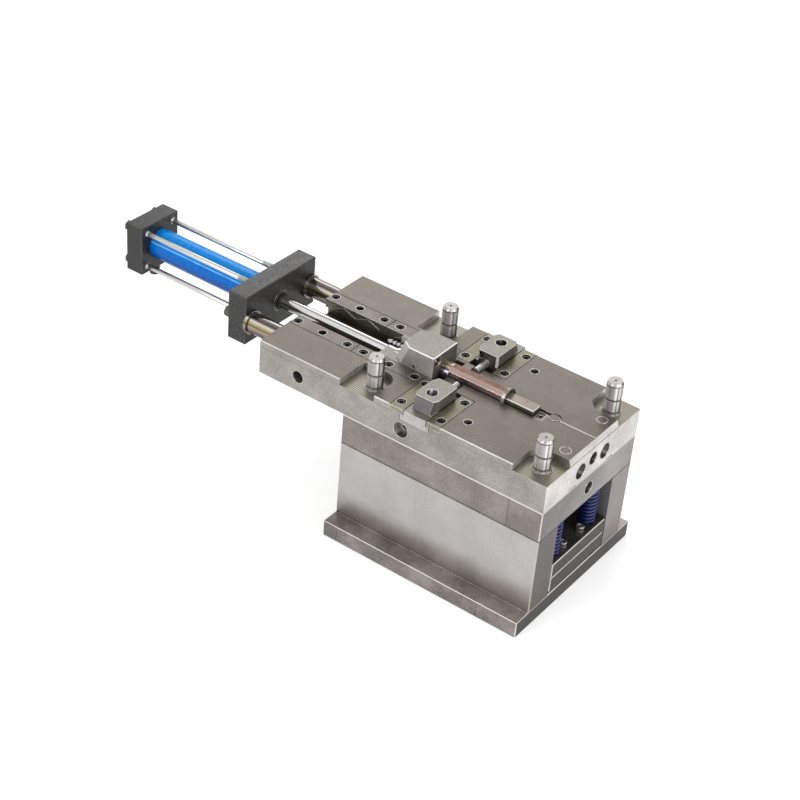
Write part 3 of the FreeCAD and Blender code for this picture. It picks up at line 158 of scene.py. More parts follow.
class Nodes:
    """Short calls for building one material's node tree."""

    def __init__(self, name):
        self.material = bpy.data.materials.new(name)
        self.material.use_nodes = True
        self.tree = self.material.node_tree
        self.tree.nodes.clear()
        self.shader = self.add("ShaderNodeBsdfPrincipled")
        out = self.add("ShaderNodeOutputMaterial")
        self.link(self.shader.outputs[0], out.inputs[0])

    def add(self, kind, **settings):
        node = self.tree.nodes.new(kind)
        for key, value in settings.items():
            setattr(node, key, value)
        return node

    def link(self, source, target):
        self.tree.links.new(source, target)

    def put(self, value, socket):
        """Sets a socket from a number, a colour or another node's output."""
        if isinstance(value, bpy.types.NodeSocket):
            self.link(value, socket)
        else:
            socket.default_value = value

    def place(self, stretch=(1, 1, 1), turn=(0, 0, 0)):
        """The point on the piece in millimetres, stretched for streaks."""
        coords = self.add("ShaderNodeTexCoord")
        mapping = self.add("ShaderNodeMapping")
        mapping.inputs["Scale"].default_value = [1000 * s for s in stretch]
        mapping.inputs["Rotation"].default_value = turn
        self.link(coords.outputs["Object"], mapping.inputs["Vector"])
        return mapping.outputs[0]

    def noise(self, where, scale, detail=3.0, rough=0.55):
        node = self.add("ShaderNodeTexNoise")
        node.inputs["Scale"].default_value = scale
        node.inputs["Detail"].default_value = detail
        node.inputs["Roughness"].default_value = rough
        self.link(where, node.inputs["Vector"])
        return node.outputs["Fac"]

    def span(self, value, low, high, to_low=0.0, to_high=1.0):
        """Maps low..high to to_low..to_high, clamped."""
        node = self.add("ShaderNodeMapRange")
        node.inputs["From Min"].default_value = low
        node.inputs["From Max"].default_value = high
        node.inputs["To Min"].default_value = to_low
        node.inputs["To Max"].default_value = to_high
        self.link(value, node.inputs["Value"])
        return node.outputs[0]

    def math(self, kind, a, b=0.0):
        node = self.add("ShaderNodeMath", operation=kind)
        self.put(a, node.inputs[0])
        self.put(b, node.inputs[1])
        return node.outputs[0]

    def mix(self, factor, a, b, blend="MIX"):
        node = self.add("ShaderNodeMix", data_type="RGBA", blend_type=blend)
        self.put(factor, node.inputs[0])
        self.put(a, node.inputs[6])
        self.put(b, node.inputs[7])
        return node.outputs[2]

    def normal_part(self, axis):
        """How far the surface faces along +X, +Y or +Z."""
        geometry = self.add("ShaderNodeNewGeometry")
        split = self.add("ShaderNodeSeparateXYZ")
        self.link(geometry.outputs["Normal"], split.inputs[0])
        return split.outputs["XYZ".index(axis)]

    def ramp(self, value, stops):
        """A colour band from (place, sRGB colour) stops."""
        node = self.add("ShaderNodeValToRGB")
        elements = node.color_ramp.elements
        while len(elements) < len(stops):
            elements.new(0.5)
        for element, (place, colour) in zip(elements, stops):
            element.position = place
            element.color = linear(colour)
        self.link(value, node.inputs[0])
        return node.outputs[0]

    def by_facing(self, tones):
        """Mixes the tones of a ground piece by the way that each face looks: painted light and shade."""
        x = self.normal_part("X")
        shade = self.mix(self.span(x, 0.5, 0.9), linear(tones["side"]), linear(tones["right"]))
        shade = self.mix(self.span(x, -0.5, -0.9), shade, linear(tones["left"]))
        return self.mix(self.span(self.normal_part("Z"), 0.5, 0.9), shade, linear(tones["up"]))

    def chamfers(self):
        """1 on faces that look along no axis, such as chamfered edges."""
        parts = [self.math("ABSOLUTE", self.normal_part(axis)) for axis in "XYZ"]
        largest = self.math("MAXIMUM", self.math("MAXIMUM", parts[0], parts[1]), parts[2])
        return self.span(largest, 0.88, 0.78)

    def crevices(self, reach, open_above=0.66, shut_below=0.22):
        """1 in holes, inner corners and seams, by ambient occlusion: where painted shade goes."""
        node = self.add("ShaderNodeAmbientOcclusion", samples=6)
        node.inputs["Distance"].default_value = reach
        return self.span(node.outputs["AO"], open_above, shut_below)

    def near(self, value, level, reach):
        """1 where a value is at a level, fading to 0 at reach from it."""
        away = self.math("ABSOLUTE", self.math("SUBTRACT", value, level))
        return self.span(away, 0.4 * reach, reach, 1.0, 0.0)

    def times(self, shade, factor):
        """A colour made darker or lighter by a linear factor."""
        return self.mix(1.0, shade, (factor,) * 3 + (1,), "MULTIPLY")

    def reflection_stripes(self, axis, count, phase):
        """Soft painted reflection bands along a turned piece, 0 to 1, by the way that its surface faces."""
        across = [a for a in "XYZ" if a != axis]
        angle = self.math("ARCTAN2", self.normal_part(across[1]), self.normal_part(across[0]))
        wave = self.math("SINE", self.math("ADD", self.math("MULTIPLY", angle, count), phase))
        return self.span(wave, -0.5, 0.5)

    def way_round(self):
        """0 to 1 by the way round that an upright turned surface faces, from -X through -Y."""
        angle = self.math("ARCTAN2", self.normal_part("Y"), self.normal_part("X"))
        return self.span(angle, -math.pi, math.pi)

    def position(self, axis):
        coords = self.add("ShaderNodeTexCoord")
        split = self.add("ShaderNodeSeparateXYZ")
        self.link(coords.outputs["Object"], split.inputs[0])
        return split.outputs["XYZ".index(axis)]

    def edge_wear_and_highlight(self, radius, noise, samples=4):
        """1 along sharp edges, for worn metal with a painted highlight, made patchy by noise."""
        bevel = self.add("ShaderNodeBevel", samples=samples)
        bevel.inputs["Radius"].default_value = radius
        geometry = self.add("ShaderNodeNewGeometry")
        dot = self.add("ShaderNodeVectorMath", operation="DOT_PRODUCT")
        self.link(bevel.outputs[0], dot.inputs[0])
        self.link(geometry.outputs["Normal"], dot.inputs[1])
        edge = self.span(dot.outputs["Value"], 0.995, 0.93)
        return self.math("MULTIPLY", edge, noise), bevel.outputs[0]

    def bump(self, height, strength, distance, normal=None):
        node = self.add("ShaderNodeBump")
        node.inputs["Strength"].default_value = strength
        node.inputs["Distance"].default_value = distance
        self.link(height, node.inputs["Height"])
        if normal is not None:
            self.link(normal, node.inputs["Normal"])
        return node.outputs[0]

    def finish(self, colour, metallic, roughness, normal=None, coat=0.0, specular=0.5):
        self.put(colour, self.shader.inputs["Base Color"])
        self.shader.inputs["Metallic"].default_value = metallic
        self.put(roughness, self.shader.inputs["Roughness"])
        self.shader.inputs["Specular IOR Level"].default_value = specular
        if coat:
            self.shader.inputs["Coat Weight"].default_value = coat
            self.shader.inputs["Coat Roughness"].default_value = 0.08
        if normal is not None:
            self.link(normal, self.shader.inputs["Normal"])
        return self.material


# Heights of the seams between the plates, where oil and dust gather
STACKED = ("bottom_clamp_plate", "spacer_block_front", "support_plate")
SEAM_HEIGHTS = sorted({round(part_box(node)[1][2], 5) for node in STACKED})
# A line scribed on the parting face from the puller to the end
SCRIBE_Y = 5 * MM
SCRIBE_FROM_X = 109 * MM
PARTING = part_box("cavity_plate")[1][2]


# Painted shade in dark rings on the guide pins: over the collar, the groove and under the lead, as the
# height from the parting face and the reach
PIN_RINGS = ((-7 * MM, 1.6 * MM), (13.5 * MM, 2.6 * MM), (37 * MM, 1.3 * MM))
# How far the painted shade of a deep hole reaches, and the floor of the pockets with the pitch of its
# cutter lines
HOLE_REACH = 18 * MM
POCKET_LEVEL = 0.255
CUTTER_PITCH = 3.2 * MM


def ground_steel(name, tones, grain=(0.012, 0.9, 0.9), metallic=0.7, rough=(0.3, 0.5), blotch=0.14,
                 stain_below=None, milled=None, chamfer_highlight=0.7, lined=0.6, relief_depth=0.04,
                 end_front_shade=None, corner=6 * MM, leaning_shade=None, speckled=0.80, chamfer_highlight_tone=BRIGHT_EDGE):
    """Surface-ground tool steel: grinding lines, handling blotches, tones of painted light and shade by
    the way each face looks, grime with painted shade in corners and holes, and bright edges of wear with
    a painted highlight.

    blotch and speckled say how dark the blotches and specks are, and lined how bright the grinding
    lines. stain_below is (low, high) of a stain at the foot, milled is (level, pitch, tone) of cutter
    lines on a floor, end_front_shade paints shade on the front of the +X end, and leaning_shade is the
    tone of painted shade on leaning faces."""
    n = Nodes(name)
    lines = n.noise(n.place(stretch=grain), 1.0, 4.0, 0.7)
    blotches = n.noise(n.place(), 0.022, 4.0, 0.6)
    fine = n.noise(n.place(), 0.35, 3.0, 0.6)
    height = n.position("Z")
    shade = n.by_facing(tones)
    if end_front_shade:
        # Painted shade: the +X end is darker towards the front
        on_end = n.span(n.normal_part("X"), 0.5, 0.9)
        front = n.math("MULTIPLY", n.span(n.position("Y"), 0.06, -0.09), on_end)
        shade = n.mix(front, shade, n.times(shade, end_front_shade))
    if leaning_shade:
        # Painted shade on the leaning wedge faces of the side slides
        up = n.normal_part("Z")
        leaning = n.math("MULTIPLY", n.span(up, 0.15, 0.25), n.span(up, 0.7, 0.6))
        leaning = n.math("MULTIPLY", leaning, n.span(n.math("ABSOLUTE", n.normal_part("Y")), 0.7, 0.8))
        shade = n.mix(leaning, shade, linear(leaning_shade))
    shade = n.mix(n.span(blotches, 0.38, 0.68), n.times(shade, 1 - blotch * 2.2), shade)
    shade = n.mix(n.span(fine, 0.36, 0.6), n.times(shade, speckled), shade)
    shade = n.mix(n.span(lines, 0.42, 0.75, 0.0, lined), shade, n.times(shade, 1.22))
    relief = lines
    if milled:
        # Cutter lines on the floors of the pockets
        level, pitch, tone = milled
        floor = n.near(height, level, 1.2 * MM)
        wave = n.math("SINE", n.math("MULTIPLY", n.position("X"), math.tau / pitch))
        wave = n.math("MULTIPLY", n.span(wave, -0.6, 0.9), floor)
        shade = n.mix(n.math("MULTIPLY", floor, 0.75), shade, linear(tone))
        shade = n.mix(n.math("MULTIPLY", wave, 0.3), shade, linear(BRIGHT_EDGE))
        ground = n.math("MULTIPLY", lines, n.math("SUBTRACT", 1.0, floor))
        relief = n.math("ADD", ground, n.math("MULTIPLY", wave, 2.0))
        on_line = n.near(n.position("Y"), SCRIBE_Y, 0.9 * MM)
        scribed = n.math("MULTIPLY", on_line, n.near(height, PARTING, 0.2 * MM))
        past_start = n.span(n.position("X"), SCRIBE_FROM_X, SCRIBE_FROM_X + 1 * MM)
        scribed = n.math("MULTIPLY", scribed, past_start)
        shade = n.mix(n.math("MULTIPLY", scribed, 0.7), shade, linear(BRIGHT_EDGE))
    if stain_below:
        low, high = stain_below
        level = n.math("ADD", height, n.math("MULTIPLY", blotches, 0.02))
        shade = n.mix(n.span(level, high + 0.01, low + 0.01, 0.0, 0.68), shade, linear(STAIN))
    # Painted highlight: chamfered faces are mixed towards a bright tone
    shade = n.mix(n.math("MULTIPLY", n.chamfers(), chamfer_highlight), shade, linear(chamfer_highlight_tone))
    # Bright edges: worn metal with a painted highlight
    edge, soft = n.edge_wear_and_highlight(1.0 * MM, n.span(blotches, 0.3, 0.62, 0.25, 1.0))
    shade = n.mix(n.math("MULTIPLY", edge, 0.8), shade, linear(BRIGHT_EDGE))
    upright_face = n.span(n.math("ABSOLUTE", n.normal_part("Z")), 0.5, 0.3, 0.0, 0.75)
    for level in SEAM_HEIGHTS:
        seam = n.math("MULTIPLY", n.near(height, level - 0.5 * MM, 1.3 * MM), upright_face)
        shade = n.mix(seam, shade, linear(GRIME_AND_SHADE))
    # Painted shade in corners and seams, by ambient occlusion, in the grime colour
    shade = n.mix(n.math("MULTIPLY", n.crevices(corner), 0.9), shade, linear(GRIME_AND_SHADE))
    # Painted shade deep in holes
    deep = n.math("MULTIPLY", n.crevices(HOLE_REACH, 0.40, 0.18), 0.85)
    shade = n.mix(deep, shade, linear(HOLE_SHADE))
    roughness = n.span(n.math("ADD", lines, n.math("MULTIPLY", blotches, 0.6)), 0.55, 1.1, *rough)
    normal = n.bump(relief, 0.25, relief_depth * MM, soft)
    return n.finish(shade, metallic, roughness, normal)


def polished_steel(name, colour, rough=(0.12, 0.3), stretch=(1, 1, 1), metallic=0.95, reflection_stripes=None,
                   bands=None, around=None, rings=()):
    """Hardened, polished or plated steel with faint streaks, with painted reflections and painted shade.
    reflection_stripes is (axis, count, phase, darkest) of painted reflection bands, bands is a painted
    colour for each way that the surface faces, from under to over, around is one for each way round that
    an upright surface faces, and rings are painted dark rings of shade as (height from the parting face,
    reach)."""
    n = Nodes(name)
    streaks = n.noise(n.place(stretch=stretch), 0.8, 3.0, 0.6)
    smudge = n.noise(n.place(), 0.06, 3.0, 0.6)
    shade = n.ramp(n.span(n.normal_part("Z"), -1.0, 1.0), bands) if bands else linear(colour)
    if reflection_stripes:
        axis, count, phase, darkest = reflection_stripes
        # Ends of a turned piece have no painted reflection bands, and take a darker tone, painted shade
        turned_side = n.span(n.math("ABSOLUTE", n.normal_part(axis)), 0.9, 0.7)
        striped = n.math("MULTIPLY", n.reflection_stripes(axis, count, phase), turned_side)
        shade = n.mix(striped, shade, n.times(shade, darkest))
        end_tone = n.mix(1.0, shade, (0.62, 0.61, 0.60, 1), "MULTIPLY")
        shade = n.mix(turned_side, end_tone, shade)
    if around:
        upright = n.span(n.math("ABSOLUTE", n.normal_part("Z")), 0.9, 0.5)
        shade = n.mix(upright, linear(colour), n.ramp(n.way_round(), around))
        # Painted shade in dark rings
        for level, reach in rings:
            ring = n.near(n.position("Z"), PARTING + level, reach)
            shade = n.mix(n.math("MULTIPLY", ring, 0.85), shade, linear(GRIME_AND_SHADE))
    dull = n.mix(1.0, shade, (0.72, 0.7, 0.68, 1), "MULTIPLY")
    shade = n.mix(n.span(streaks, 0.4, 0.7), dull, shade)
    # Bright edges: worn metal with a painted highlight
    edge, soft = n.edge_wear_and_highlight(0.6 * MM, n.span(smudge, 0.3, 0.6, 0.5, 1.0))
    shade = n.mix(n.math("MULTIPLY", edge, 0.6), shade, (0.85, 0.85, 0.84, 1))
    # Painted shade in corners and seams, by ambient occlusion
    shade = n.mix(n.math("MULTIPLY", n.crevices(3 * MM), 0.8), shade, linear(GRIME_AND_SHADE))
    roughness = n.span(smudge, 0.35, 0.65, *rough)
    normal = n.bump(streaks, 0.1, 0.02 * MM, soft)
    return n.finish(shade, metallic, roughness, normal)


def painted(name, colour, rough=0.25, coat=0.0, metallic=0.0, worn=(0.5, 0.5, 0.5), edge_wear_and_sheen=0.3,
            speckle=0.0, bands=None, specular=0.5, corner=5 * MM):
    """Paint, oxide or coloured coating that wears through to metal on the edges, with a painted
    highlight there and painted shade in its corners.
    """
    n = Nodes(name)
    mottle = n.noise(n.place(), 0.12, 4.0, 0.6)
    fine = n.noise(n.place(), 1.4, 2.0, 0.5)
    base = n.ramp(n.span(n.normal_part("Z"), -1.0, 1.0), bands) if bands else linear(colour)
    shade = n.mix(n.span(mottle, 0.4, 0.7, 0.0, 0.6), base, n.times(base, 1.5))
    specks = n.noise(n.place(), 0.8, 3.0, 0.7)
    shade = n.mix(n.span(specks, 0.5, 0.72, 0.0, speckle), shade, linear(worn))
    # Bare metal on the edges: wear with a painted highlight
    edge, soft = n.edge_wear_and_highlight(0.8 * MM, n.span(fine, 0.35, 0.65, 0.3, 1.0))
    shade = n.mix(n.math("MULTIPLY", edge, edge_wear_and_sheen), shade, linear(worn))
    # Painted shade in corners, by ambient occlusion
    deep = n.mix(1.0, shade, (0.22, 0.22, 0.26, 1), "MULTIPLY")
    shade = n.mix(n.math("MULTIPLY", n.crevices(corner), 0.8), shade, deep)
    roughness = n.span(mottle, 0.3, 0.7, rough * 0.8, rough * 1.3)
    normal = n.bump(fine, 0.15, 0.03 * MM, soft)
    return n.finish(shade, metallic, roughness, normal, coat, specular)


# Where the core's collar ends and its octagon starts
COLLAR_END_X = -72 * MM


def core_finish():
    """The polished core with painted reflections: a copper cast on its top facet, bright shoulders,
    darker flanks and collar, a painted highlight on its edges and painted shade in its corners.
    """
    n = Nodes("core_copper")
    streaks = n.noise(n.place(stretch=(0.02, 1.0, 1.0)), 0.8, 3.0, 0.6)
    smudge = n.noise(n.place(), 0.09, 3.0, 0.6)
    facing = n.span(n.normal_part("Z"), -1.0, 1.0)
    on_collar = n.span(n.position("X"), COLLAR_END_X + 0.5 * MM, COLLAR_END_X - 0.5 * MM)
    shade = n.mix(on_collar, n.ramp(facing, CORE_BANDS), n.ramp(facing, COLLAR_BANDS))
    dull = n.mix(1.0, shade, (0.68, 0.62, 0.60, 1), "MULTIPLY")
    shade = n.mix(n.span(streaks, 0.35, 0.65), dull, shade)
    # Painted highlight along the edges
    edge, soft = n.edge_wear_and_highlight(1.0 * MM, n.span(smudge, 0.2, 0.5, 0.7, 1.0), 12)
    shade = n.mix(n.math("MULTIPLY", edge, 0.9), shade, linear(CORE_EDGE_HIGHLIGHT))
    # Painted shade in corners, by ambient occlusion
    shade = n.mix(n.math("MULTIPLY", n.crevices(5 * MM), 0.85), shade, linear(GRIME_AND_SHADE))
    roughness = n.span(smudge, 0.35, 0.65, 0.16, 0.32)
    return n.finish(shade, 0.85, roughness, n.bump(streaks, 0.12, 0.03 * MM, soft))


def build_materials():
    along_x = (0.02, 1.0, 1.0)
    along_y = (0.5, 0.012, 0.5)
    upright = (0.25, 0.25, 0.01)
    return {
        "plate_steel": ground_steel("plate_steel", PLATE,
                                    milled=(POCKET_LEVEL, CUTTER_PITCH, POCKET_FLOOR)),
        "support_steel": ground_steel("support_steel", SUPPORT, end_front_shade=0.62),
        "clamp_steel": ground_steel("clamp_steel", CLAMP, blotch=0.2, corner=3 * MM),
        "spacer_steel": ground_steel("spacer_steel", SPACER, grain=upright, blotch=0.05, rough=(0.36, 0.38),
                                     stain_below=(0.024, 0.075), chamfer_highlight=0.3, lined=0.15, relief_depth=0.002,
                                     end_front_shade=0.42, corner=4 * MM, speckled=0.92),
        "ejector_steel": ground_steel("ejector_steel", EJECTOR, blotch=0.2),
        "black_oxide": painted("black_oxide", OXIDE, 0.36, metallic=0.5, edge_wear_and_sheen=0.75, worn=(0.62, 0.61, 0.60),
                               speckle=0.4),
        "hardened_steel": polished_steel("hardened_steel", HARDENED, (0.14, 0.3), metallic=0.5,
                                         reflection_stripes=("Z", 3, 1.36, 0.3)),
        "side_core_steel": polished_steel("side_core_steel", HARDENED, (0.14, 0.3), metallic=0.5,
                                          reflection_stripes=("Y", 3, 0.6, 0.4)),
        "rail_steel": ground_steel("rail_steel", RAIL, blotch=0.2, chamfer_highlight=0.2),
        "gib_steel": ground_steel("gib_steel", GIB, blotch=0.18, chamfer_highlight=0.2),
        "slide_steel": ground_steel("slide_steel", SLIDE, blotch=0.1, grain=along_y, chamfer_highlight=1.0,
                                    metallic=0.45, leaning_shade=LEANING_SHADE, chamfer_highlight_tone=WHITE),
        "rear_slide_shaded_steel": ground_steel("rear_slide_shaded_steel", REAR_SLIDE_SHADED, blotch=0.1, grain=along_y,
                                         chamfer_highlight=0.85, metallic=0.45, leaning_shade=LEANING_SHADE),
        "guide_pin_steel": polished_steel("guide_pin_steel", PIN_END, (0.16, 0.3), metallic=0.3,
                                          around=PIN_BANDS, rings=PIN_RINGS),
        "end_bar_steel": ground_steel("end_bar_steel", END_BAR, blotch=0.1),
        "bright_screw": polished_steel("bright_screw", BRIGHT),
        "bright_rim": polished_steel("bright_rim", RIM, (0.2, 0.35)),
        "dark_screw": painted("dark_screw", DARK_SCREW, 0.4, metallic=0.3, edge_wear_and_sheen=0.3, worn=(0.5, 0.49, 0.47),
                              specular=0.35),
        "seam_grime": painted("seam_grime", SEAM_GRIME, 0.7, edge_wear_and_sheen=0.0, specular=0.2),
        "bronze": polished_steel("bronze", BRONZE, (0.25, 0.45)),
        "blue_spring": painted("blue_spring", SPRING_BLUE, 0.35, edge_wear_and_sheen=0.2),
        # The long reach paints shade on the tube near the end cap
        "blue_paint": painted("blue_paint", None, 0.2, coat=0.08, edge_wear_and_sheen=0.1, bands=TUBE_BANDS, specular=0.12,
                              corner=30 * MM),
        "zinc_plate": polished_steel("zinc_plate", ZINC, (0.22, 0.4), stretch=along_x),
        "hard_chrome": polished_steel("hard_chrome", None, (0.05, 0.14), stretch=along_x, bands=ROD_BANDS),
        "chrome_painted_reflections": polished_steel("chrome_painted_reflections", None, (0.08, 0.18), stretch=along_x,
                                        bands=POST_BANDS),
        "piston_aluminium": polished_steel("piston_aluminium", ALUMINIUM, (0.3, 0.45)),
        "seal_rubber": painted("seal_rubber", RUBBER, 0.6, edge_wear_and_sheen=0.0),
        "core_copper": core_finish(),
    }


# Nodes whose finish differs from the others of their slot
NODE_FINISH = {
    "support_plate": "support_steel",
    "gib_front_left": "gib_steel",
    "gib_front_right": "gib_steel",
    "gib_rear_left": "gib_steel",
    "gib_rear_right": "gib_steel",
    "spacer_post_front": "chrome_painted_reflections",
    "spacer_post_rear": "chrome_painted_reflections",
    "core_end_bar": "end_bar_steel",
    "core_end_stop": "end_bar_steel",
    "sprue_puller_pin": "plate_steel",
    "side_slide_rear": "rear_slide_shaded_steel",
    "guide_pin_front_left": "guide_pin_steel",
    "guide_pin_front_right": "guide_pin_steel",
    "guide_pin_rear_left": "guide_pin_steel",
    "guide_pin_rear_right": "guide_pin_steel",
    "side_core_front": "side_core_steel",
    "side_core_rear": "side_core_steel",
    "return_pins": "plate_steel",
}
materials = build_materials()
slot_of = {part["node"]: part["material_slot"] for part in frame["record"]["subparts"]}


def dress_nodes():
    """Gives every node its material."""
    for node, obj in frame["nodes"].items():
        obj.data.materials.clear()
        obj.data.materials.append(materials[NODE_FINISH.get(node, slot_of[node])])


def mesh_piece(name, mesh, slot, body="root", smooth=None, finish=None):
    """Adds a mesh as a piece that takes its finish from a slot and rides on a body."""
    obj = bpy.data.objects.new(name, mesh)
    bpy.context.collection.objects.link(obj)
    mesh.materials.append(materials[finish or slot])
    if smooth is not None:
        mesh.shade_smooth()
        mesh.set_sharp_from_angle(angle=math.radians(smooth))
    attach(obj, body)
    return obj


def rings_along(bm, at, axis, profile, sides):
    """A ring of points for each (place along axis, radius or radius by angle) of a profile."""
    turn = Vector(axis).to_track_quat("Z", "Y").to_matrix()
    rings = []
    for along, radius in profile:
        ring = []
        for i in range(sides):
            a = math.tau * i / sides
            r = radius(a) if callable(radius) else radius
            out = Vector((r * math.cos(a), r * math.sin(a), along))
            ring.append(bm.verts.new(Vector(at) + turn @ out))
        rings.append(ring)
    return rings


def join_rings(bm, rings):
    """Faces from each ring to the next."""
    for a, b in zip(rings, rings[1:]):
        for i in range(len(a)):
            j = (i + 1) % len(a)
            bm.faces.new((a[i], a[j], b[j], b[i]))


def turned(bm, at, axis, profile, sides):
    """Adds a closed turned form."""
    rings = rings_along(bm, at, axis, profile, sides)
    join_rings(bm, rings)
    bm.faces.new(list(reversed(rings[0])))
    bm.faces.new(rings[-1])


def mesh_from(bm, name):
    bmesh.ops.recalc_face_normals(bm, faces=bm.faces)
    mesh = bpy.data.meshes.new(name)
    bm.to_mesh(mesh)
    bm.free()
    return mesh


def solids_of(node):
    """The (lowest, highest) corners of each separate solid in a node."""
    bm = bmesh.new()
    bm.from_mesh(frame["nodes"][node].data)
    bmesh.ops.remove_doubles(bm, verts=bm.verts, dist=0.001 * MM)
    left = set(bm.verts)
    boxes = []
    while left:
        stack = [left.pop()]
        found = []
        while stack:
            vert = stack.pop()
            found.append(vert.co.copy())
            for edge in vert.link_edges:
                other = edge.other_vert(vert)
                if other in left:
                    left.remove(other)
                    stack.append(other)
        low = Vector([min(c[i] for c in found) for i in range(3)])
        high = Vector([max(c[i] for c in found) for i in range(3)])
        boxes.append((low, high))
    bm.free()
    return sorted(boxes, key=lambda b: tuple(round(c, 5) for c in b[0]))


def hexagon_radius(flats):
    def radius(angle):
        part = math.fmod(angle + math.radians(30), math.radians(60)) - math.radians(30)
        return flats / 2 / math.cos(part)
    return radius


def knurled_radius(radius, teeth, depth):
    def at(angle):
        return radius - depth * (0.5 - 0.5 * math.cos(angle * teeth))
    return at


def thread_profile(low, high, radius, pitch):
    """Zigzag of a thread between two places along an axis."""
    depth = 0.6 * pitch
    turns = max(1, int((high - low) / pitch))
    step = (high - low) / turns
    points = []
    for i in range(turns):
        points.append((low + step * i, radius - depth))
        points.append((low + step * (i + 0.5), radius))
    points.append((high, radius - depth))
    return points


# Socket head screws: head radius, head height, key and thread radius in millimetres
SCREW_SIZES = {
    "rail_and_gib_screws": (6.5, 8.0, 6.0, 4.0),
    "core_end_screws": (6.5, 8.0, 6.0, 4.0),
    "ejector_plate_screws": (6.5, 8.0, 6.0, 4.0),
    "spacer_screws": (6.5, 8.0, 6.0, 4.0),
    "assembly_screws": (10.5, 14.0, 12.0, 7.0),
    "post_bolts": (9.0, 12.0, 10.0, 6.0),
}
# Low heads on the short screws of the gibs
LOW_HEAD = (6.5, 5.0, 5.0, 4.0)
LOW_HEAD_BELOW = 30 * MM
SCREW_AXES = {
    "rail_and_gib_screws": (0, 0, 1),
    "core_end_screws": (0, 0, -1),
    "ejector_plate_screws": (0, 0, 1),
    "spacer_screws": (0, 0, -1),
    "assembly_screws": (0, 0, -1),
    "post_bolts": (-1, 0, 0),
}


def screw_form(bm, top, axis, length, sizes):
    """A socket head screw with a knurled head, a hexagon socket and a threaded end."""
    head, height, key, thread = (MM * v for v in sizes)
    socket = hexagon_radius(key)
    knurl = knurled_radius(head, 36, 0.35 * MM)
    # From the tip of the thread, up over the head and down into the socket
    profile = thread_profile(-length + 0.6 * MM, -length * 0.55, thread, 1.25 * MM)
    profile += [(-length * 0.55 + 1 * MM, thread), (-height, thread), (-height, head - 0.4 * MM)]
    profile += [(-height + 0.4 * MM, head), (-height + 0.5 * MM, knurl)]
    profile += [(-1.3 * MM, knurl), (-1.2 * MM, head)]
    profile += [(-0.5 * MM, head - 0.1 * MM), (-0.15 * MM, head - 0.4 * MM), (0, head - 0.9 * MM)]
    profile += [(0, key * 0.62), (-0.5 * MM, socket), (-height / 2, socket)]
    profile += [(-height / 2 - 0.8 * MM, key * 0.1)]
    turned(bm, top, axis, profile, 72)


def build_screws():
    """Detailed screws in place of the plain ones."""
    for node, sizes in SCREW_SIZES.items():
        axis = Vector(SCREW_AXES[node])
        along = max(range(3), key=lambda i: abs(axis[i]))
        bm = bmesh.new()
        for low, high in solids_of(node):
            top = (low + high) / 2
            top[along] = high[along] if axis[along] > 0 else low[along]
            length = high[along] - low[along]
            screw_form(bm, top, axis, length, LOW_HEAD if length < LOW_HEAD_BELOW else sizes)
        body = "ejector" if node == "ejector_plate_screws" else "root"
        # The rail and gib screws take the darker finish as painted shade in their counterbores
        finish = "dark_screw" if node == "rail_and_gib_screws" else slot_of[node]
        mesh = mesh_from(bm, node)
        piece = mesh_piece(node + "_detailed", mesh, slot_of[node], body, smooth=30, finish=finish)
        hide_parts(node)


# Bright worn rims round the mouths of holes: which nodes, and the half width and height of a rim
RIM_NODES = ("cavity_plate", "support_plate", "slide_rail_front_inner", "slide_rail_front_outer",
             "slide_rail_rear_inner", "slide_rail_rear_outer", "gib_front_left", "gib_front_right",
             "gib_rear_left", "gib_rear_right", "core_slide", "side_slide_front", "side_slide_rear",
             "bottom_clamp_plate", "cylinder_flange", "cylinder_end_cap")
RIM_HALF_WIDTH = 0.42 * MM
RIM_HEIGHT = 0.3 * MM
SMALLEST_MOUTH = 2.2 * MM
LARGEST_MOUTH = 21 * MM
CLEAR_ABOVE_MOUTH = 6 * MM
LOWEST_OPEN_FLOOR = POCKET_LEVEL - 0.5 * MM


def in_turn(points, centre, axis):
    """Points round a centre, sorted by their angle about an axis."""
    turn = axis.to_track_quat("Z", "Y").to_matrix().transposed()

    def angle(point):
        flat = turn @ (point - centre)
        return math.atan2(flat.y, flat.x)

    return sorted(points, key=angle)


def face_outlines(bm):
    """The edges where faces that look along an axis meet walls, by the axis and the face's place."""
    loops = {}
    for edge in bm.edges:
        if len(edge.link_faces) != 2:
            continue
        for flat, wall in (edge.link_faces, reversed(edge.link_faces)):
            if flat.normal.dot(wall.normal) > 0.85:
                continue
            axis = flat.normal
            if max(abs(c) for c in axis) < 0.999:
                continue
            key = tuple(round(c) for c in axis) + (round(axis.dot(edge.verts[0].co), 5),)
            loops.setdefault(key, []).append((edge, wall.normal.copy()))
    return loops


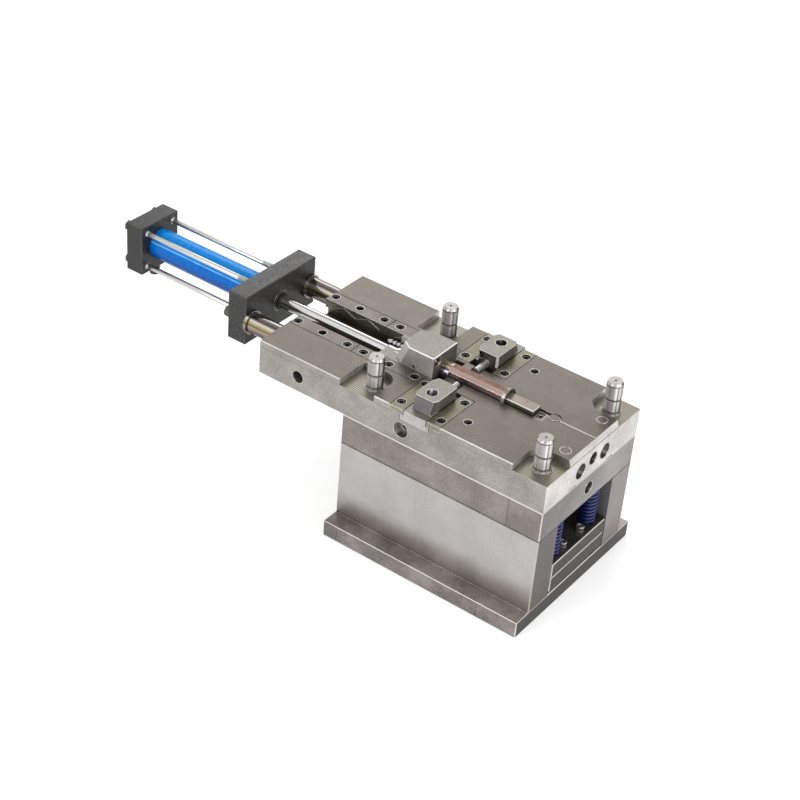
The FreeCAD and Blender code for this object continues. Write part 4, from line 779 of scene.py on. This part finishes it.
def mouths_of(node):
    """The mouths of round holes in a node's flat faces, as (centre, outward normal, points in order)."""
    bm = bmesh.new()
    bm.from_mesh(frame["nodes"][node].data)
    bmesh.ops.remove_doubles(bm, verts=bm.verts, dist=0.001 * MM)
    found = []
    for key, edges in sorted(face_outlines(bm).items()):
        axis = Vector(key[:3])
        links = {}
        for edge, wall in edges:
            for vert in edge.verts:
                links.setdefault(vert, []).append((edge, wall))
        left = set(links)
        for start in sorted(links, key=lambda v: v.index):
            if start not in left:
                continue
            stack, ring, walls = [start], [], []
            left.discard(start)
            while stack:
                vert = stack.pop()
                ring.append(vert)
                for edge, wall in links[vert]:
                    walls.append((vert.co.copy(), wall))
                    other = edge.other_vert(vert)
                    if other in left:
                        left.discard(other)
                        stack.append(other)
            if len(ring) < 12 or axis.z < -0.5 or any(len(links[v]) != 2 for v in ring):
                continue
            centre = sum((v.co for v in ring), Vector()) / len(ring)
            far = [(v.co - centre).length for v in ring]
            if max(far) > 1.15 * min(far) or not SMALLEST_MOUTH < max(far) < LARGEST_MOUTH:
                continue
            if any(wall.dot(at - centre) > 0 for at, wall in walls):
                continue
            found.append((centre, axis, in_turn([v.co.copy() for v in ring], centre, axis)))
    bm.free()
    return found


def is_open(centre, axis, point):
    """Whether nothing stands on the face beside a hole's mouth."""
    beside = centre + (point - centre) * 1.06 + axis * 0.4 * MM
    graph = bpy.context.evaluated_depsgraph_get()
    hit = bpy.context.scene.ray_cast(graph, beside, axis, distance=CLEAR_ABOVE_MOUTH)
    return not hit[0]


def add_rim(bm, centre, axis, points):
    section = [(-1.0, -0.3), (-0.7, 0.7), (0.0, 1.0), (0.7, 0.7), (1.0, -0.3)]
    rings = []
    for point in points:
        out = (point - centre).normalized()
        base = point + out * (RIM_HALF_WIDTH + 0.02 * MM)
        places = [base + out * w * RIM_HALF_WIDTH + axis * h * RIM_HEIGHT for w, h in section]
        rings.append([bm.verts.new(place) for place in places])
    join_rings(bm, rings + rings[:1])


def body_of(node):
    return next(body for body, nodes in frame["record"]["behaviour"]["bodies"].items() if node in nodes)


def build_hole_rims():
    bpy.context.view_layer.update()
    for node in RIM_NODES:
        bm = bmesh.new()
        for centre, axis, points in mouths_of(node):
            hidden_floor = node == "cavity_plate" and axis.z > 0.5 and centre.z < LOWEST_OPEN_FLOOR
            if not hidden_floor and all(is_open(centre, axis, p) for p in points[::len(points) // 4]):
                add_rim(bm, centre, axis, points)
        if bm.verts:
            mesh = mesh_from(bm, node + "_rims")
            body = body_of(node)
            mesh_piece(node + "_hole_rims", mesh, slot_of[node], body, smooth=50, finish="bright_rim")
        else:
            bm.free()


# Dark seams round the parts let into the parting face, and joint lines on the plates' fronts
SEAM_WIDTH = 0.9 * MM
SEAM_HEIGHT = 0.12 * MM
FRONT_LINES = (("support_plate", 0.119), ("bottom_clamp_plate", 0.105), ("bottom_clamp_plate", -0.150))
FRONT_LINE_INSET = 1.5 * MM


def add_bar(bm, low, high):
    made = bmesh.ops.create_cube(bm, size=1.0)["verts"]
    for vert in made:
        vert.co = Vector([low[i] if vert.co[i] < 0 else high[i] for i in range(3)])


def build_seams():
    bm = bmesh.new()
    half = SEAM_WIDTH / 2
    low_z, high_z = PARTING - 0.3 * MM, PARTING + SEAM_HEIGHT
    for node in RIM_NODES:
        if not node.startswith(("slide_rail", "gib")):
            continue
        (x0, y0, _), (x1, y1, _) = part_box(node)
        near, far = sorted((y0, y1), key=abs)
        if node.startswith("gib"):
            # The side away from the slide, and the inner end
            slide_x = (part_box("side_slide_front")[0][0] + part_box("side_slide_front")[1][0]) / 2
            x = max((x0, x1), key=lambda v: abs(v - slide_x))
            add_bar(bm, (x - half, min(near, far), low_z), (x + half, max(near, far), high_z))
            add_bar(bm, (x0 + half, near - half, low_z), (x1 - half, near + half, high_z))
        else:
            add_bar(bm, (x0, far - half, low_z), (x1, far + half, high_z))
            add_bar(bm, (x1 - half, y0 + half, low_z), (x1 + half, y1 - half, high_z))
    for node, x in FRONT_LINES:
        low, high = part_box(node)
        bottom, top = low[2] + FRONT_LINE_INSET, high[2] - FRONT_LINE_INSET
        add_bar(bm, (x - half / 2, low[1] - SEAM_HEIGHT, bottom), (x + half / 2, low[1] + SEAM_HEIGHT, top))
    mesh_piece("seam_lines", mesh_from(bm, "seam_lines"), "rail_steel", finish="seam_grime")


# Tie rods: bright shanks with threaded ends
TIE_THREAD_FRONT = 24 * MM
TIE_THREAD_BACK = 46 * MM
TIE_PITCH = 1.5 * MM


def build_tie_rods():
    bm = bmesh.new()
    for low, high in solids_of("tie_rods"):
        centre = (low + high) / 2
        radius = (high.y - low.y) / 2
        half = (high.x - low.x) / 2
        waist = radius - 0.35 * MM
        profile = [(-half, radius - 1 * MM)]
        profile += thread_profile(-half + 1 * MM, -half + TIE_THREAD_BACK, radius, TIE_PITCH)
        profile += [(-half + TIE_THREAD_BACK + 1 * MM, waist), (half - TIE_THREAD_FRONT - 21 * MM, waist)]
        profile += thread_profile(half - TIE_THREAD_FRONT - 20 * MM, half - 1 * MM, radius, TIE_PITCH)
        profile += [(half, radius - 1 * MM)]
        turned(bm, centre, (1, 0, 0), profile, 32)
    piece = mesh_piece("tie_rods_threaded", mesh_from(bm, "tie_rods"), "zinc_plate", smooth=35)
    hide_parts("tie_rods")


# Threads in the three lifting holes
LIFTING_RADIUS = 10 * MM
LIFTING_PITCH = 2.5 * MM
LIFTING_THREAD = (3 * MM, 30 * MM)
THREAD_SIDES = 48


def hole_thread(bm, mouth, inward):
    """Ridges that stand in from a hole's wall, as an open sleeve with thickness."""
    low, high = LIFTING_THREAD
    outer = LIFTING_RADIUS - 0.05 * MM
    ridge = thread_profile(low, high, outer, LIFTING_PITCH)
    sleeve = [(along, 2 * outer - r - 1.5 * MM) for along, r in ridge]
    profile = [(low, outer)] + sleeve + [(high, outer)]
    rings = rings_along(bm, mouth, inward, profile, THREAD_SIDES)
    join_rings(bm, rings + rings[:1])


def build_hole_threads():
    bm = bmesh.new()
    for mount in frame["record"]["mounts"]:
        if mount["name"].startswith("lifting_hole"):
            hole_thread(bm, mount["pos_m"], [-c for c in mount["axis"]])
    mesh = mesh_from(bm, "hole_threads")
    # The threads take the near black finish as painted shade inside the holes
    mesh_piece("lifting_hole_threads", mesh, "plate_steel", smooth=30, finish="dark_screw")


# Return springs, which replace the plain coils
SPRING_TURNS = 11.5
SPRING_RADIUS = 13 * MM
WIRE_WIDTH = 3.6 * MM
WIRE_HEIGHT = 3.4 * MM
WIRE_SIDES = 16
STEPS_PER_TURN = 40
CLOSED_TURNS = 0.8


def spring_mesh(centre, low, high):
    """Flat-wire helix with rounded corners and closed, ground ends."""
    half_w = WIRE_WIDTH / 2
    half_h = WIRE_HEIGHT / 2
    corner = 0.8 * MM
    profile = []
    for i in range(WIRE_SIDES):
        a = math.tau * i / WIRE_SIDES
        w = math.copysign(half_w - corner, math.cos(a)) + corner * math.cos(a)
        h = math.copysign(half_h - corner, math.sin(a)) + corner * math.sin(a)
        profile.append((w, h))
    bm = bmesh.new()
    steps = int(SPRING_TURNS * STEPS_PER_TURN)
    mean = SPRING_RADIUS - half_w
    rise = high - low - 2 * half_h
    end_turn = CLOSED_TURNS / SPRING_TURNS
    flat = WIRE_HEIGHT * 0.95
    rings = []
    for i in range(steps + 1):
        t = i / steps
        climb = min(max((t - end_turn) / (1 - 2 * end_turn), 0.0), 1.0)
        z = low + half_h + (rise - 2 * flat) * climb + flat * min(t / end_turn, 1.0)
        z += flat * max((t - 1 + end_turn) / end_turn, 0.0)
        a = math.tau * SPRING_TURNS * t
        ring = []
        for w, h in profile:
            r = mean + w
            ring.append(bm.verts.new((centre[0] + r * math.cos(a), centre[1] + r * math.sin(a), z + h)))
        rings.append(ring)
    join_rings(bm, rings)
    bm.faces.new(list(reversed(rings[0])))
    bm.faces.new(rings[-1])
    return mesh_from(bm, "spring")


def build_springs():
    low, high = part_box("return_springs")
    xs = (low[0] + SPRING_RADIUS, high[0] - SPRING_RADIUS)
    ys = (low[1] + SPRING_RADIUS, high[1] - SPRING_RADIUS)
    top = high[2]
    for x, hand in zip(xs, ("left", "right")):
        for y, side in zip(ys, ("front", "rear")):
            mesh = spring_mesh((x, y), low[2], top)
            piece = mesh_piece("return_spring_" + side + "_" + hand, mesh, "blue_spring", smooth=40)
            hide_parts("return_springs")
            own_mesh(piece)


# Camera, solved from the plates' edges in the photograph
CAMERA_AT = Vector((1.1334, -1.9446, 1.8130))
CAMERA_AZIMUTH = math.radians(33.6344)
CAMERA_ELEVATION = math.radians(35.0407)
CAMERA_ROLL = math.radians(5.1570)
CAMERA_LENS = 85.0


def build_camera():
    data = bpy.data.cameras.new("camera")
    data.lens = CAMERA_LENS
    data.sensor_width = 36.0
    camera = bpy.data.objects.new("camera", data)
    az, el, roll = CAMERA_AZIMUTH, CAMERA_ELEVATION, CAMERA_ROLL
    forward = Vector((-math.sin(az) * math.cos(el), math.cos(az) * math.cos(el), -math.sin(el)))
    right = forward.cross(Vector((0, 0, 1))).normalized()
    up = right.cross(forward)
    r = right * math.cos(roll) + up * math.sin(roll)
    u = up * math.cos(roll) - right * math.sin(roll)
    turn = Matrix((r, u, -forward)).transposed().to_4x4()
    camera.matrix_world = Matrix.Translation(CAMERA_AT) @ turn
    bpy.context.collection.objects.link(camera)
    bpy.context.scene.camera = camera


def area_light(name, at, target, size, power):
    data = bpy.data.lights.new(name, "AREA")
    data.shape = "RECTANGLE"
    data.size = size[0]
    data.size_y = size[1]
    data.energy = power
    light = bpy.data.objects.new(name, data)
    light.location = at
    light.rotation_euler = (Vector(target) - Vector(at)).to_track_quat("-Z", "Y").to_euler()
    bpy.context.collection.objects.link(light)


def backdrop_colour(tree, plain, shown):
    """plain for light that reaches the object, shown for what the camera and mirrors see."""
    path = tree.nodes.new("ShaderNodeLightPath")
    seen = path.outputs["Is Camera Ray"]
    for ray in ("Is Glossy Ray", "Is Transmission Ray"):
        either = tree.nodes.new("ShaderNodeMath")
        either.operation = "MAXIMUM"
        tree.links.new(seen, either.inputs[0])
        tree.links.new(path.outputs[ray], either.inputs[1])
        seen = either.outputs[0]
    mix = tree.nodes.new("ShaderNodeMix")
    mix.data_type = "FLOAT"
    tree.links.new(seen, mix.inputs[0])
    mix.inputs[2].default_value = plain
    mix.inputs[3].default_value = shown
    return mix.outputs[0]


def build_world():
    """A soft white world."""
    world = bpy.data.worlds.new("studio")
    bpy.context.scene.world = world
    world.use_nodes = True
    background = world.node_tree.nodes["Background"]
    background.inputs["Color"].default_value = (1, 1, 1, 1)
    strength = backdrop_colour(world.node_tree, 0.55, 1.0)
    world.node_tree.links.new(strength, background.inputs["Strength"])


def build_floor():
    """A pale floor that the object stands on."""
    bm = bmesh.new()
    bmesh.ops.create_grid(bm, x_segments=1, y_segments=1, size=8.0)
    mesh = bpy.data.meshes.new("floor")
    bm.to_mesh(mesh)
    bm.free()
    floor = bpy.data.objects.new("floor", mesh)
    floor.location.z = cad_box[0][2]
    bpy.context.collection.objects.link(floor)
    n = Nodes("floor")
    n.finish((0.92, 0.92, 0.92, 1), 0.0, 0.7)
    n.shader.inputs["Emission Color"].default_value = (1, 1, 1, 1)
    n.link(backdrop_colour(n.tree, 0.0, 0.40), n.shader.inputs["Emission Strength"])
    mesh.materials.append(n.material)


def build_lights():
    """Three large soft lights."""
    area_light("key", (-0.5, -2.4, 1.1), (0, 0, 0.15), (1.8, 1.2), 30)
    area_light("fill", (2.6, -0.3, 0.9), (0, 0, 0.18), (1.2, 1.2), 34)
    area_light("back", (-1.4, 2.0, 1.6), (0, 0, 0.15), (1.6, 1.0), 14)


dress_nodes()
build_springs()
build_screws()
build_tie_rods()
build_hole_threads()
build_hole_rims()
build_seams()
build_camera()
build_world()
build_floor()
build_lights()
bpy.context.scene.view_settings.view_transform = "Standard"
